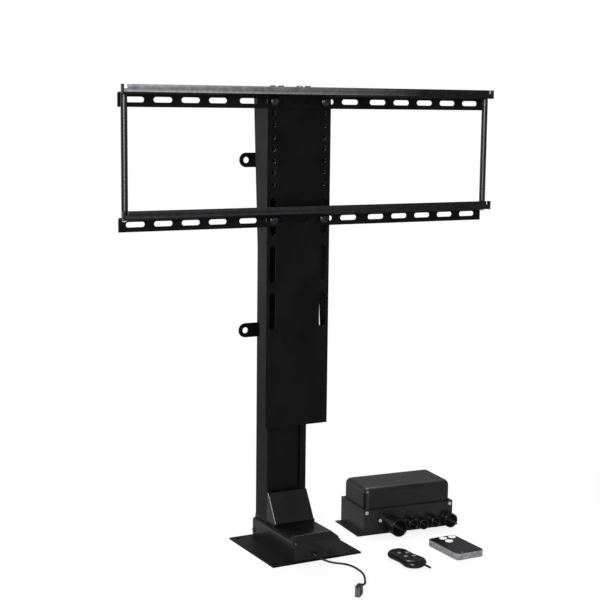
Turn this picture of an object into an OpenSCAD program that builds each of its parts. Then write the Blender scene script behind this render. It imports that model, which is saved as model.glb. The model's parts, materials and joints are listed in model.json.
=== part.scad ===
// Television lift: a two-stage column lift that carries a screen on two slotted rails,
// with its control unit and its two hand-held transmitters.
// Millimetres, +Z up, the front faces -Y. The origin is the middle of the base plate's underside.

/* [Base] */
// Width of the base plate
base_w = 178; // [160:1:220]
// Depth of the base plate
base_d = 178; // [170:1:220]
// Thickness of the base plate
base_t = 3; // [2:0.5:6]
// Diameter of the corner holes
base_hole_d = 7; // [4:0.5:9]
// Distance from the plate's edges to the corner holes
base_hole_inset = 12; // [8:1:15]

/* [Motor housing] */
// Width of the housing
house_w = 93; // [92:1:120]
// Wall thickness of the housing
house_wall = 2; // [1:0.5:3]
// Height of the housing walls
house_h = 30; // [28:1:45]
// Radius of the housing's rear corners
house_corner_r = 12; // [6:1:14]
// Distance from the housing's ends to the plate's edges
house_inset = 2; // [1:0.5:3]
// Height of the bevelled lid
lid_h = 13; // [12:1:18]
// Inward run of the lid's bevel
lid_bevel = 12; // [6:1:16]
// Height of the shroud above the lid
shroud_h = 51; // [30:1:80]
// Forward run of the shroud at the lid
shroud_run = 35; // [20:1:50]
// Radius of the motor can
motor_r = 18; // [14:0.5:18]
// Length of the motor can
motor_l = 90; // [60:1:100]
// Height of the gearbox
gearbox_h = 41; // [38:1:50]

/* [Fixed column] */
// Width of the column
col_w = 80; // [76:1:86]
// Depth of the column
col_d = 46; // [45:1:50]
// Sheet thickness of the column
col_wall = 2.5; // [2:0.5:3]
// Width of the column's front lips
col_lip = 12; // [10:0.5:13]
// Distance from the plate's rear edge to the column
col_inset = 10; // [8:1:14]
// Height of the column's top above the lowered mast
mast_drop = 27; // [5:1:30]
// Length of the column's acetal guides
guide_h = 40; // [20:1:60]
// Half width of the wall straps
strap_reach = 76; // [70:1:100]
// Height of the wall straps
strap_h = 26; // [20:1:36]
// Thickness of the wall straps
strap_t = 3; // [2:0.5:5]
// Diameter of the wall strap holes
strap_hole_d = 11; // [6:0.5:14]
// Distance from the column's top down to the upper wall strap
strap_drop = 92; // [40:1:150]
// Distance between the two wall straps
strap_pitch = 308; // [200:1:400]

/* [Inner mast] */
// Gap between the column's sides and the mast
side_gap = 5; // [4:0.5:6]
// Gap between the column's lips and the mast
front_gap = 4; // [3.5:0.5:5]
// Gap between the mast and the column's back
rear_gap = 7; // [6.5:0.5:8]
// Sheet thickness of the mast
mast_wall = 2.5; // [2:0.5:3]
// Width of the mast's front lips
mast_lip = 12.5; // [9:0.5:13]
// Height of the mast's foot when lowered
mast_foot = 62; // [60:1:70]
// Length of the mast
mast_len = 703; // [660:1:710]

/* [Drive] */
// Lift of each of the two stages
stroke = 380; // [300:1:380]
// Diameter of the lead screw
screw_d = 12; // [10:0.5:14]
// Height of the lift nut
nut_h = 26; // [15:1:40]
// Radius of the belt pulleys
pulley_r = 7; // [6.8:0.1:7.4]
// Width of the lift belts
belt_w = 8; // [6:0.5:9]
// Thickness of the lift belts
belt_t = 1.2; // [0.8:0.1:1.4]

/* [Carriage] */
// Width of the carriage
carr_w = 125; // [118:1:150]
// Sheet thickness of the carriage
carr_t = 2.5; // [2:0.5:3]
// Height of the carriage's lower edge when lowered
carr_bottom = 226.5; // [220:0.5:240]
// Height of the carriage above the upper rail's slots
carr_over = 20; // [16:1:30]
// Distance from the carriage's front plate to the column
carr_gap = 33.5; // [30:0.5:40]
// Depth of the side flanges at the top
flange_top = 55; // [30:1:60]
// Depth of the side flanges at the bottom
flange_bottom = 14; // [8:1:30]
// Distance between the two columns of holes
hole_span = 100; // [80:1:100]
// Pitch of the holes
hole_pitch = 20.5; // [18:0.5:20.5]
// Diameter of the holes
hole_d = 7; // [5:0.5:8]
// Holes in each column
hole_count = 8; // [4:1:8]
// Width of the long slots
long_slot_w = 12; // [8:0.5:14]
// Length of the long slots
long_slot_l = 66; // [30:1:70]
// Pitch of the long slots
long_slot_pitch = 83.5; // [72:0.5:90]
// Distance from the lower rail's screws down to the upper long slot's end
long_slot_drop = 28; // [20:1:32]
// Thickness of the top cap
cap_t = 3; // [2:0.5:5]

/* [Rails] */
// Length of the rails
rail_len = 725; // [700:1:900]
// Sideways shift of the rails from the column
rail_shift = 25.5; // [20:0.5:30]
// Sheet thickness of the rails
rail_t = 3; // [2:0.5:3.5]
// Height of the rails' slotted faces
rail_face_h = 24.5; // [22:0.5:35]
// Forward reach of the rails' lips
rail_reach = 29; // [20:0.5:34]
// Height of the upturned lips
rail_lip_h = 12.5; // [11:0.5:20]
// Height of the upper rail's line of slots above the column
rail_rise = 12; // [8:1:26]
// Hole pitches between the two rails
rail_steps = 10; // [9:1:10]
// Pitch of the slots
slot_pitch = 50; // [46:1:50]
// Distance between neighbouring slots of two groups
group_pitch = 57.5; // [55:0.5:60]
// Length of a slot
slot_l = 34; // [20:1:38]
// Width of a slot
slot_w = 9; // [7.5:0.5:11]
// Diameter of the tie rods
rod_d = 11; // [7:0.5:12]

/* [Motor lead] */
// Diameter of the lead
lead_d = 3.6; // [3:0.1:4]

/* [Control unit] */
// Width of the control unit
unit_w = 188.5; // [184:0.5:220]
// Depth of the control unit
unit_d = 101; // [92:1:140]
// Height of the control unit
unit_h = 89; // [78:1:110]
// Height of its tray
tray_h = 48; // [40:1:54]
// Wall thickness of the tray and the lid
unit_wall = 2; // [1.5:0.5:3]
// Width of its feet
unit_foot = 12.5; // [10:1:20]
// Diameter of the holes in its feet
unit_hole_d = 5; // [3:0.5:6]

/* [Key fob transmitter] */
// Height of the key fob
fob_h = 14; // [13.5:0.5:16]
// Radius of the key fob's rear end
fob_r = 21; // [20:0.5:24]
// Diameter of the key fob's buttons
fob_button_d = 8; // [5:0.5:8]
// Length of the aerial
aerial_l = 18; // [10:1:40]

/* [Handset transmitter] */
// Width of the handset
hand_w = 58; // [56:1:70]
// Length of the handset
hand_l = 96; // [95:1:130]
// Height of the handset
hand_h = 13; // [13:0.5:16]
// Diameter of the handset's buttons
hand_button_d = 14.5; // [6:0.5:14.5]

/* [Hidden] */
$fn = 48;

// Finishes
black_paint = "#1b1c20";
satin_black = "#26272b";
zinc = "#b9bcc0";
acetal = "#17171a";
dark_plastic = "#17171a";
pale_plastic = "#dedfdc";
board_green = "#1f4a35";
rubber_black = "#141416";

// Clearances
eps = 0.1;
slide_fit = 0.3;
turn_fit = 0.05;
belt_fit = 0.3;
lid_fit = 0.4;

// Housing
house_front = -base_d / 2 + house_inset;
house_rear = base_d / 2 - house_inset;
house_top = base_t + house_h;
lid_top = house_top + lid_h;
lid_rim = 1;

// Column
col_rear = base_d / 2 - col_inset;
col_front = col_rear - col_d;
cavity_x = col_w / 2 - col_wall;
cavity_front = col_front + col_wall;
cavity_rear = col_rear - col_wall;
col_open = col_w / 2 - col_lip;
guide_mouth = 1;

// Mast
mast_x = cavity_x - side_gap;
mast_front = cavity_front + front_gap;
mast_rear = cavity_rear - rear_gap;
mast_in_x = mast_x - mast_wall;
mast_in_front = mast_front + mast_wall;
mast_in_rear = mast_rear - mast_wall;
mast_open = mast_x - mast_lip;
mast_top = mast_foot + mast_len;
col_top = mast_top + mast_drop;
rail_z = col_top + rail_rise;
foot_plate_t = 2;
foot_plate_lap = 6;
foot_plate_top = carr_bottom - 5;

// Belts and pulleys
axle_r = 2.5;
pulley_y = mast_in_rear - axle_r - 0.2;
pulley_flange_r = pulley_r + 1.2;
flange_t = 1;
loop_in_r = pulley_r + belt_fit;
loop_out_r = loop_in_r + belt_t;
pulley_end = loop_out_r + 1;
pulley_low_z = mast_foot + pulley_end;
pulley_top_z = mast_top - pulley_end;
belt_x = 20;
drum_in = belt_x - belt_w / 2 - 0.4;
drum_out = belt_x + belt_w / 2 + 0.4;
window_in = drum_in - flange_t - 0.6;
window_out = drum_out + flange_t + 0.6;

// Lead screw
screw_r = screw_d / 2;
screw_y = pulley_y - 5.3;
journal_r = 4;
bearing_r = 12;
bearing_h = 10;
gearbox_top = base_t + gearbox_h;
bearing_top = gearbox_top + bearing_h;
nut_z = mast_foot + 4;
nut_x = 13;
nut_wall = 4;
screw_top = nut_z + nut_h + stroke + 10;
screw_foot_lift = 27;
screw_foot = base_t + screw_foot_lift;

// Carriage
plate_back = col_front - carr_gap;
plate_front = plate_back - carr_t;
carr_top = rail_z + carr_over;
carr_x = carr_w / 2;
spine_x = 15;
spine_t = 2.5;
spine_rear = mast_front - 3.5;
spine_z0 = carr_bottom + 5;
shoe_h = 40;
shoe_gap = 56;
spine_end = 2;
shoe_zs = [spine_z0 + spine_end, spine_z0 + spine_end + shoe_h + shoe_gap];
spine_z1 = shoe_zs[1] + shoe_h + spine_end;
shoe_rear = mast_in_front + 9;
bolt_xs = [-35, -18.5, 18.5, 35];
bolt_back = 36;
bolt_y = plate_front + bolt_back;
bolt_r = 3;
bolt_head_r = 5.5;
bolt_head_h = 4.5;
bolt_grip = 8;

// Rails
rail_back = plate_front;
rail_face = rail_back - rail_t;
lip_front = rail_face - rail_reach;
lip_back = lip_front + rail_t;
bend_in = 2;
bend_out = bend_in + rail_t;
rail_x0 = rail_shift - rail_len / 2;
rail_x1 = rail_shift + rail_len / 2;
ledge_top = rail_face_h / 2;
ledge_low = ledge_top - rail_t;
lip_top = ledge_top + rail_lip_h;
rail_low_z = rail_z - rail_steps * hole_pitch;
long_slot_z = rail_low_z - long_slot_drop - 2 * long_slot_pitch;
inner_slots = [for (i = [-2:2]) i * slot_pitch];
left_slots = [for (i = [0:3]) -2 * slot_pitch - group_pitch - i * slot_pitch];
right_slots = [for (i = [0:4]) 2 * slot_pitch + group_pitch + i * slot_pitch];
slot_xs = concat(inner_slots, left_slots, right_slots);
rod_inset = 5.5;
rod_xs = [rail_x0 + rod_inset, rail_x1 - rod_inset];
rod_y = (rail_face + lip_back) / 2;
rod_screw_r = 2.5;
rod_head_r = 4.2;
rod_head_h = 3;
rod_bore = 14;
lip_relief = 6.5;
lip_relief_z = 5.5;
cap_over = 10;
cap_flange_t = 3;
cap_depth = 5;
rail_screw_r = 3.4;
screw_head_r = 6;
screw_flange_r = 7.8;
screw_flange_t = 1.4;
screw_head_h = 4;
rail_nut_r = 6.4;
rail_nut_t = 5;
rail_screw_past = 3;

// Motor lead: gland, route on the floor and plug
gland_x = -3;
gland_z = base_t + 6.5;
gland_r = 5.5;
gland_l = 12;
gland_taper = 2.2;
gland_neck_r = gland_r - 1.5;
gland_back = house_front + house_wall + 3;
lead_y0 = house_front - gland_l;
lead_route = [
    [gland_x, lead_y0, gland_z], [gland_x + 0.5, lead_y0 - 5, gland_z - 0.3],
    [0, -110, 8], [5, -115, 6.2], [11, -118.5, 4.4], [19, -122, 2.8], [26, -126, 2.1],
    [31.5, -132, 2], [35, -140, 2], [37, -149, 2], [37.5, -159, 2], [37, -169, 2], [36, -179, 2],
    [33.5, -189, 2], [30, -198.5, 2], [25.5, -208, 2], [20, -217.5, 2.4], [14, -228.5, 3.6],
    [6, -240.5, 6], [-5, -252.5, 9.2], [-16.5, -264, 12]
];
lead_end = lead_route[len(lead_route) - 1];
plug_turn = 224;
plug_l = 19;
plug_w = 9;
plug_h = 18;
plug_ways = 4;
plug_pitch = 4;
plug_pin_r = 1.3;
plug_pin_depth = 8;
plug_grip_x = [3, 8];
plug_grip_depth = 0.8;
plug_grip_rim = 3;

// Control unit
unit_place = [144, -6, 0];
unit_turn = -5;
lid_step = 3.5;
lid_r = 11;
lid_flange_t = 1.5;
foot_t = 2;
// Each socket: place along the front, height, radius, reach
sockets = [
    [60.2, 16.8, 16.5, 30], [96.3, 16, 10, 18], [119.1, 14.2, 10, 18], [144.3, 15.8, 10, 18],
    [178.5, 14.2, 13.8, 15]
];
socket_wall = 2.5;
socket_floor = 3;
neck_share = 0.55;
post_r = 3;
post_h = 8;
post_inset = 18;
board_front = 30;
board_t = 1.6;
board_gap = 10;
unit_screw_r = 2;
unit_head_r = 3.6;
unit_head_h = 1.8;
unit_screw_z = tray_h - 4.5;
unit_screw_x = 6;
earth_screw = [34, 26];

// Key fob
fob_place = [137, -164, 0];
fob_turn = -88;
fob_flare = 1.1;
fob_stretch = 22;
fob_skin = 1.8;
fob_split = fob_h / 2;
fob_button_r = fob_button_d / 2;
fob_spots = [[-12, -7], [-7, 7], [8, -6.5], [13, 7.5]];
fob_board_x = [-24, 28];
fob_board_y = 12.5;
fob_board_z = 4.4;
aerial_r = 1.9;
aerial_y = 8;

// Handset
hand_place = [250, -153, 0];
hand_r = 7;
hand_skin = 1.8;
hand_split = hand_h / 2;
hand_button_r = hand_button_d / 2;
hand_spots = [[-2, 37], [17.5, 37], [-1, 19]];
hand_board_z = 3.6;
hand_board_low = [-22, -40];
hand_board_high = [25, 44];
button_flange = 1;
button_flange_t = 1.4;
button_gap = 0.2;
button_press = 0.8;
switch_r = 2;
switch_drop = 2 * button_gap + button_flange_t + button_press;

// Solid block between two opposite corners
module span(a, b) translate(a) cube([b[0] - a[0], b[1] - a[1], b[2] - a[2]]);

// Round bars along X and Y, from one end to the other
module bar_x(x0, x1, y, z, r) translate([x0, y, z]) rotate([0, 90, 0]) cylinder(r = r, h = x1 - x0);
module bar_y(y0, y1, x, z, r) translate([x, y0, z]) rotate([-90, 0, 0]) cylinder(r = r, h = y1 - y0);
module bar_z(z0, z1, x, y, r) translate([x, y, z0]) cylinder(r = r, h = z1 - z0);

// Both sides of the centre plane
module both() {
    children();
    mirror([1, 0, 0]) children();
}

// Round-ended slot through a plate that faces Y
module slot_y(x, z, y0, y1, length, width, upright = false) {
    run = (length - width) / 2;
    for (s = [-1, 1])
        bar_y(y0, y1, x + (upright ? 0 : s * run), z + (upright ? s * run : 0), width / 2);
    span([x - (upright ? width / 2 : run), y0, z - (upright ? run : width / 2)],
        [x + (upright ? width / 2 : run), y1, z + (upright ? run : width / 2)]);
}

// Housing outline, drawn in by an inset and round at the rear corners
module house_plan(inset, z0, z1) {
    x = house_w / 2 - inset;
    r = max(house_corner_r - inset, 1);
    y0 = house_front + inset;
    y1 = house_rear - inset;
    span([-x, y0, z0], [x, y1 - r, z1]);
    span([r - x, y0, z0], [x - r, y1, z1]);
    for (s = [-1, 1])
        bar_z(z0, z1, s * (x - r), y1 - r, r);
}

// Profile in Y and Z, drawn through from one X to another
module profile_x(x0, x1, points) translate([x0, 0, 0]) rotate([90, 0, 90])
    linear_extrude(x1 - x0) polygon(points);

// Base, housing and drive
module base_plate() color(black_paint) difference() {
    span([-base_w / 2, -base_d / 2, 0], [base_w / 2, base_d / 2, base_t]);
    for (sx = [-1, 1], sy = [-1, 1])
        bar_z(-eps, base_t + eps, sx * (base_w / 2 - base_hole_inset),
            sy * (base_d / 2 - base_hole_inset), base_hole_d / 2);
}

house_screw_r = 2.5;
house_head_r = 4.5;
house_head_h = 2.5;
house_front_xs = [-25, 25];
house_screw_grip = 4;
house_front_rise = 9;
house_side_rise = 14;
house_side_gap = 3;
house_front_z = base_t + house_front_rise;
house_side_y = house_rear - house_corner_r - house_side_gap;
house_side_z = base_t + house_side_rise;

module motor_housing() color(satin_black) difference() {
    house_plan(0, base_t, house_top);
    house_plan(house_wall, base_t - eps, house_top + eps);
    for (x = house_front_xs)
        bar_y(house_front - eps, house_front + house_wall + eps, x, house_front_z, house_screw_r + turn_fit);
    bar_y(house_front - eps, house_front + house_wall + eps, gland_x, gland_z, gland_neck_r);
    both() bar_x(house_w / 2 - house_wall - eps, house_w / 2 + eps, house_side_y, house_side_z,
        house_screw_r + turn_fit);
}

module housing_lid() color(satin_black) difference() {
    hull() {
        house_plan(0, house_top, house_top + lid_rim);
        house_plan(lid_bevel, lid_top - lid_rim, lid_top, $fn = 32);
    }
    hull() {
        house_plan(house_wall, house_top - eps, house_top + lid_rim - house_wall / 2);
        house_plan(lid_bevel + house_wall, lid_top - house_wall - lid_rim, lid_top - house_wall, $fn = 32);
    }
    span([-col_w / 2 - lid_fit, col_front - shroud_run - lid_fit, house_top - 1],
        [col_w / 2 + lid_fit, col_rear + lid_fit, lid_top + 1]);
}

shroud_t = 2;
shroud_dip = 3.5;
shroud_brow = 4;
shroud_top = lid_top + shroud_h;

module column_shroud() color(satin_black) difference() {
    profile_x(-col_w / 2, col_w / 2, [
        [col_front, lid_top - shroud_dip], [col_front - shroud_run, lid_top - shroud_dip],
        [col_front - shroud_run, lid_top], [col_front - shroud_brow, shroud_top], [col_front, shroud_top]
    ]);
    profile_x(-col_w / 2 + shroud_t, col_w / 2 - shroud_t, [
        [col_front + eps, lid_top - shroud_dip - eps],
        [col_front - shroud_run + shroud_t, lid_top - shroud_dip - eps],
        [col_front - shroud_run + shroud_t, lid_top],
        [col_front - shroud_brow + shroud_t, shroud_top - shroud_t], [col_front + eps, shroud_top - shroud_t]
    ]);
}

module house_screw() {
    cylinder(r = house_screw_r, h = house_wall + house_screw_grip);
    translate([0, 0, -house_head_h]) cylinder(r = house_head_r, h = house_head_h);
}

module housing_screws() color(zinc) {
    for (x = house_front_xs)
        translate([x, house_front, house_front_z]) rotate([-90, 0, 0]) house_screw();
    both() translate([house_w / 2, house_side_y, house_side_z]) rotate([0, -90, 0]) house_screw();
}

module cable_gland() color(dark_plastic) {
    translate([gland_x, house_front, gland_z]) rotate([90, 0, 0])
        cylinder(r1 = gland_r, r2 = gland_r - gland_taper, h = gland_l);
    bar_y(house_front - eps, gland_back, gland_x, gland_z, gland_neck_r - turn_fit);
}

// Tube of round rings swept along a route; each ring stands square to the route there
lead_sides = 8;
function unit(v) = v / norm(v);
function way(p, i) = unit(p[min(i + 1, len(p) - 1)] - p[max(i - 1, 0)]);
function ring(p, i, r) =
    let (d = way(p, i), side = unit(cross(d, [0, 0, 1])), rise = cross(side, d))
    [for (k = [0:lead_sides - 1])
        let (a = 360 * k / lead_sides)
        p[i] + r * (cos(a) * side + sin(a) * rise)];

module tube(p, r) {
    last = len(p) - 1;
    rings = [for (i = [0:last]) each ring(p, i, r)];
    walls = [for (i = [0:last - 1], k = [0:lead_sides - 1])
        let (a = i * lead_sides + k, b = i * lead_sides + (k + 1) % lead_sides)
        each [[a, b, b + lead_sides], [a, b + lead_sides, a + lead_sides]]];
    caps = [for (k = [1:lead_sides - 2])
        each [[0, k + 1, k], [last * lead_sides, last * lead_sides + k, last * lead_sides + k + 1]]];
    polyhedron(rings, concat(walls, caps));
}

module motor_lead() color(rubber_black) tube(lead_route, lead_d / 2);

module lead_plug() color(dark_plastic)
    translate([lead_end[0], lead_end[1], 0]) rotate([0, 0, plug_turn]) difference() {
        span([0, -plug_w / 2, 0], [plug_l, plug_w / 2, plug_h]);
        for (i = [0 : plug_ways - 1])
            bar_x(plug_l - plug_pin_depth, plug_l + eps, 0, plug_h / 2 + (i - (plug_ways - 1) / 2) * plug_pitch,
                plug_pin_r);
        for (s = [-1, 1]) {
            y = s * plug_w / 2;
            span([plug_grip_x[0], min(y - s * plug_grip_depth, y + s * eps), plug_grip_rim],
                [plug_grip_x[1], max(y - s * plug_grip_depth, y + s * eps), plug_h - plug_grip_rim]);
        }
    }

motor_lift = 20;
motor_z = base_t + motor_lift;
gearbox_front = col_front + col_wall + 4;
gearbox_x = 26;
motor_end = gearbox_front - motor_l;
motor_boss = 4;
motor_boss_r = motor_r - 3;

module gear_motor() color(zinc) {
    bar_y(motor_end, gearbox_front, 0, motor_z, motor_r);
    bar_y(motor_end - motor_boss, motor_end + eps, 0, motor_z, motor_boss_r);
}

module gearbox() color(satin_black) difference() {
    span([-gearbox_x, gearbox_front, base_t], [gearbox_x, cavity_rear - 1, gearbox_top]);
    bar_z(screw_foot - 1, gearbox_top + eps, 0, screw_y, journal_r + turn_fit);
}

module screw_bearing() color(zinc) difference() {
    bar_z(gearbox_top, bearing_top, 0, screw_y, bearing_r);
    bar_z(gearbox_top - eps, bearing_top + eps, 0, screw_y, journal_r + turn_fit);
}

module inner_lead() color(rubber_black)
    bar_y(gland_back, motor_end - motor_boss, gland_x, gland_z, lead_d / 2);

module fixed_column() color(black_paint) difference() {
    span([-col_w / 2, col_front, base_t], [col_w / 2, col_rear, col_top]);
    span([-cavity_x, cavity_front, base_t - eps], [cavity_x, cavity_rear, col_top + eps]);
    span([-col_open, col_front - eps, base_t - eps], [col_open, cavity_front + eps, col_top + eps]);
}

module wall_strap(z) color(black_paint) difference() {
    union() {
        span([strap_h / 2 - strap_reach, col_rear, z - strap_h / 2],
            [strap_reach - strap_h / 2, col_rear + strap_t, z + strap_h / 2]);
        both() bar_y(col_rear, col_rear + strap_t, strap_reach - strap_h / 2, z, strap_h / 2);
    }
    both() bar_y(col_rear - eps, col_rear + strap_t + eps, strap_reach - strap_h / 2, z, strap_hole_d / 2);
}

module upper_wall_strap() wall_strap(col_top - strap_drop);
module lower_wall_strap() wall_strap(col_top - strap_drop - strap_pitch);

// Acetal corner guides between the column and the mast, cleared from one or the other
module corner_guides(z0, z1, from_column, from_mast) difference() {
    span([from_column - cavity_x, cavity_front + from_column, z0],
        [cavity_x - from_column, cavity_rear - from_column, z1]);
    span([-mast_x - from_mast, mast_front - from_mast, z0 - eps],
        [mast_x + from_mast, mast_rear + from_mast, z1 + eps]);
    span([-window_out - guide_mouth, mast_in_rear, z0 - eps],
        [window_out + guide_mouth, cavity_rear + eps, z1 + eps]);
    span([-col_open - guide_mouth, cavity_front - eps, z0 - eps],
        [col_open + guide_mouth, mast_in_rear, z1 + eps]);
}

module column_guides() color(acetal) corner_guides(col_top - guide_h, col_top, 0, slide_fit);

anchor_rise = 150;
anchor_z = mast_foot + stroke + anchor_rise;
anchor_h = 24;
anchor_clear = 0.4;
clamp_side = 3;

module belt_anchors() color(zinc) both() difference() {
    span([window_in, mast_rear + anchor_clear, anchor_z], [window_out + clamp_side, cavity_rear, anchor_z + anchor_h]);
    span([window_in - eps, pulley_y + loop_in_r - belt_fit, anchor_z - eps],
        [belt_x + belt_w / 2 + belt_fit, pulley_y + loop_out_r + belt_fit, anchor_z + anchor_h + eps]);
}

switch_x = 9;
switch_low = 60;
switch_high = 102;
switch_zs = [mast_foot + switch_low, col_top - switch_high];
switch_box = 12;
switch_hole_r = 1.2;
switch_hole_x = 5;
switch_clear = 0.5;

module limit_switches() color(dark_plastic) for (z = switch_zs) difference() {
    span([-switch_x, mast_rear + switch_clear, z], [switch_x, cavity_rear, z + switch_box]);
    for (s = [-1, 1])
        bar_y(mast_rear, cavity_rear + eps, s * switch_hole_x, z + switch_box / 2, switch_hole_r);
}

// Lead screw
module lead_screw() color(zinc) {
    bar_z(screw_foot, bearing_top + 0.3, 0, screw_y, journal_r);
    bar_z(bearing_top + 0.2, screw_top, 0, screw_y, screw_r);
}

// Inner mast
module inner_mast() color(black_paint) difference() {
    span([-mast_x, mast_front, mast_foot], [mast_x, mast_rear, mast_top]);
    span([-mast_in_x, mast_in_front, mast_foot - eps], [mast_in_x, mast_in_rear, mast_top + eps]);
    span([-mast_open, mast_front - eps, mast_foot - eps], [mast_open, mast_in_front + eps, mast_top + eps]);
    both() for (z = [pulley_low_z, pulley_top_z]) {
        span([window_in, mast_in_rear - eps, z - pulley_end - eps],
            [window_out, mast_rear + eps, z + pulley_end + eps]);
        bar_x(mast_in_x - eps, mast_x + eps, pulley_y, z, axle_r + turn_fit);
    }
}

module mast_front_plate() color(satin_black)
    span([-mast_open - foot_plate_lap, mast_front - foot_plate_t, mast_foot],
        [mast_open + foot_plate_lap, mast_front, foot_plate_top]);

module mast_foot_guides() color(acetal)
    corner_guides(mast_foot + 2, mast_foot + 2 + guide_h, slide_fit, 0);

module lift_nut() color("#b08d45") difference() {
    span([-nut_x, screw_y - screw_r - nut_wall, nut_z], [nut_x, mast_in_rear, nut_z + nut_h]);
    bar_z(nut_z - eps, nut_z + nut_h + eps, 0, screw_y, screw_r + turn_fit);
}

// Loop of belt round the two pulleys of one side
module loop_solid(x0, x1, r) {
    for (z = [pulley_low_z, pulley_top_z])
        bar_x(x0, x1, pulley_y, z, r);
    span([x0, pulley_y - r, pulley_low_z], [x1, pulley_y + r, pulley_top_z]);
}

module lift_belts() color(rubber_black) both() difference() {
    loop_solid(belt_x - belt_w / 2, belt_x + belt_w / 2, loop_out_r);
    loop_solid(belt_x - belt_w / 2 - eps, belt_x + belt_w / 2 + eps, loop_in_r);
}

module pulleys(z) color(zinc) both() {
    bar_x(drum_in - flange_t, drum_out + flange_t, pulley_y, z, pulley_r);
    bar_x(drum_in - flange_t, drum_in, pulley_y, z, pulley_flange_r);
    bar_x(drum_out, drum_out + flange_t, pulley_y, z, pulley_flange_r);
    bar_x(drum_out + flange_t - eps, mast_x, pulley_y, z, axle_r);
}

module upper_pulleys() pulleys(pulley_top_z);
module lower_pulleys() pulleys(pulley_low_z);

// Carriage
module carriage_frame() color(black_paint) difference() {
    union() {
        span([-carr_x, plate_front, carr_bottom], [carr_x, plate_back, carr_top]);
        both() profile_x(carr_x - carr_t, carr_x, [
            [plate_front, carr_bottom], [plate_front + flange_bottom, carr_bottom],
            [plate_front + flange_top, carr_top], [plate_front, carr_top]
        ]);
    }
    both() for (i = [0:hole_count - 1])
        bar_y(plate_front - eps, plate_back + eps, hole_span / 2, rail_z - i * hole_pitch, hole_d / 2);
    both() for (i = [0:2])
        slot_y(hole_span / 2, long_slot_z + i * long_slot_pitch + long_slot_l / 2, plate_front - eps,
            plate_back + eps, long_slot_l, long_slot_w, true);
}

module carriage_spine() color(satin_black) difference() {
    span([-spine_x, plate_back, spine_z0], [spine_x, spine_rear, spine_z1]);
    span([spine_t - spine_x, plate_back - eps, spine_z0 - eps],
        [spine_x - spine_t, spine_rear - spine_t, spine_z1 + eps]);
}

module guide_shoes() color(acetal) for (z = shoe_zs) {
    span([slide_fit - mast_open, spine_rear, z], [mast_open - slide_fit, shoe_rear, z + shoe_h]);
    span([slide_fit - mast_in_x, mast_in_front + slide_fit, z], [mast_in_x - slide_fit, shoe_rear, z + shoe_h]);
}

clamp_z = shoe_zs[0] + 6;
clamp_h = 26;
clamp_jaw = 2;

module belt_clamps() color(zinc) both() difference() {
    span([window_in, shoe_rear, clamp_z],
        [window_out + clamp_side, pulley_y - loop_in_r + belt_fit + clamp_jaw, clamp_z + clamp_h]);
    span([window_in - eps, pulley_y - loop_out_r - belt_fit, clamp_z - eps],
        [belt_x + belt_w / 2 + belt_fit, pulley_y - loop_in_r + belt_fit, clamp_z + clamp_h + eps]);
}

module top_cap() color(black_paint) difference() {
    span([-carr_x, plate_front, carr_top], [carr_x, plate_front + flange_top, carr_top + cap_t]);
    for (x = bolt_xs)
        bar_z(carr_top - eps, carr_top + cap_t + eps, x, bolt_y, bolt_r + turn_fit);
}

module cap_bolts() color(zinc) for (x = bolt_xs) {
    bar_z(carr_top - bolt_grip, carr_top + cap_t + eps, x, bolt_y, bolt_r);
    translate([x, bolt_y, carr_top + cap_t]) cylinder(r = bolt_head_r, h = bolt_head_h, $fn = 6);
}

// Quarter bend of a rail: a ring about (y, z), kept on one side in Y and one in Z
module bend(y, z, side_y, side_z) difference() {
    intersection() {
        bar_x(rail_x0, rail_x1, y, z, bend_out);
        span([rail_x0 - eps, min(y, y + side_y * bend_out), min(z, z + side_z * bend_out)],
            [rail_x1 + eps, max(y, y + side_y * bend_out), max(z, z + side_z * bend_out)]);
    }
    bar_x(rail_x0 - eps, rail_x1 + eps, y, z, bend_in);
}

module rail(z) color(black_paint) difference() {
    union() {
        span([rail_x0, rail_face, z - rail_face_h / 2], [rail_x1, rail_back, z + ledge_low - bend_in]);
        bend(rail_face - bend_in, z + ledge_low - bend_in, 1, 1);
        span([rail_x0, lip_back + bend_in, z + ledge_low], [rail_x1, rail_face - bend_in, z + ledge_top]);
        bend(lip_back + bend_in, z + ledge_top + bend_in, -1, -1);
        span([rail_x0, lip_front, z + ledge_top + bend_in], [rail_x1, lip_back, z + lip_top]);
    }
    for (x = slot_xs)
        slot_y(x, z, rail_face - eps, rail_back + eps, slot_l, slot_w);
    for (x = rod_xs)
        bar_z(z + ledge_low - eps, z + ledge_top + eps, x, rod_y, rod_screw_r + turn_fit);
    for (x = [rail_x0 - eps, rail_x1 - lip_relief])
        span([x, lip_front - eps, z + ledge_top + lip_relief_z], [x + lip_relief + eps, lip_back + eps, z + lip_top + eps]);
}

module upper_rail() rail(rail_z);
module lower_rail() rail(rail_low_z);

module tie_rod(x) color(satin_black) difference() {
    bar_z(rail_low_z + ledge_top, rail_z + ledge_low, x, rod_y, rod_d / 2);
    bar_z(rail_low_z + ledge_top - eps, rail_low_z + ledge_top + rod_bore, x, rod_y, rod_screw_r + turn_fit);
    bar_z(rail_z + ledge_low - rod_bore, rail_z + ledge_low + eps, x, rod_y, rod_screw_r + turn_fit);
}

module left_tie_rod() tie_rod(rod_xs[0]);
module right_tie_rod() tie_rod(rod_xs[1]);

module rod_screw() {
    cylinder(r = rod_head_r, h = rod_head_h);
    translate([0, 0, eps - rail_t - rod_bore + 2]) cylinder(r = rod_screw_r, h = rail_t + rod_bore - 2);
}

module rod_screws() color(zinc) for (x = rod_xs) {
    translate([x, rod_y, rail_z + ledge_top]) rod_screw();
    translate([x, rod_y, rail_low_z + ledge_low]) mirror([0, 0, 1]) rod_screw();
}

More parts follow.
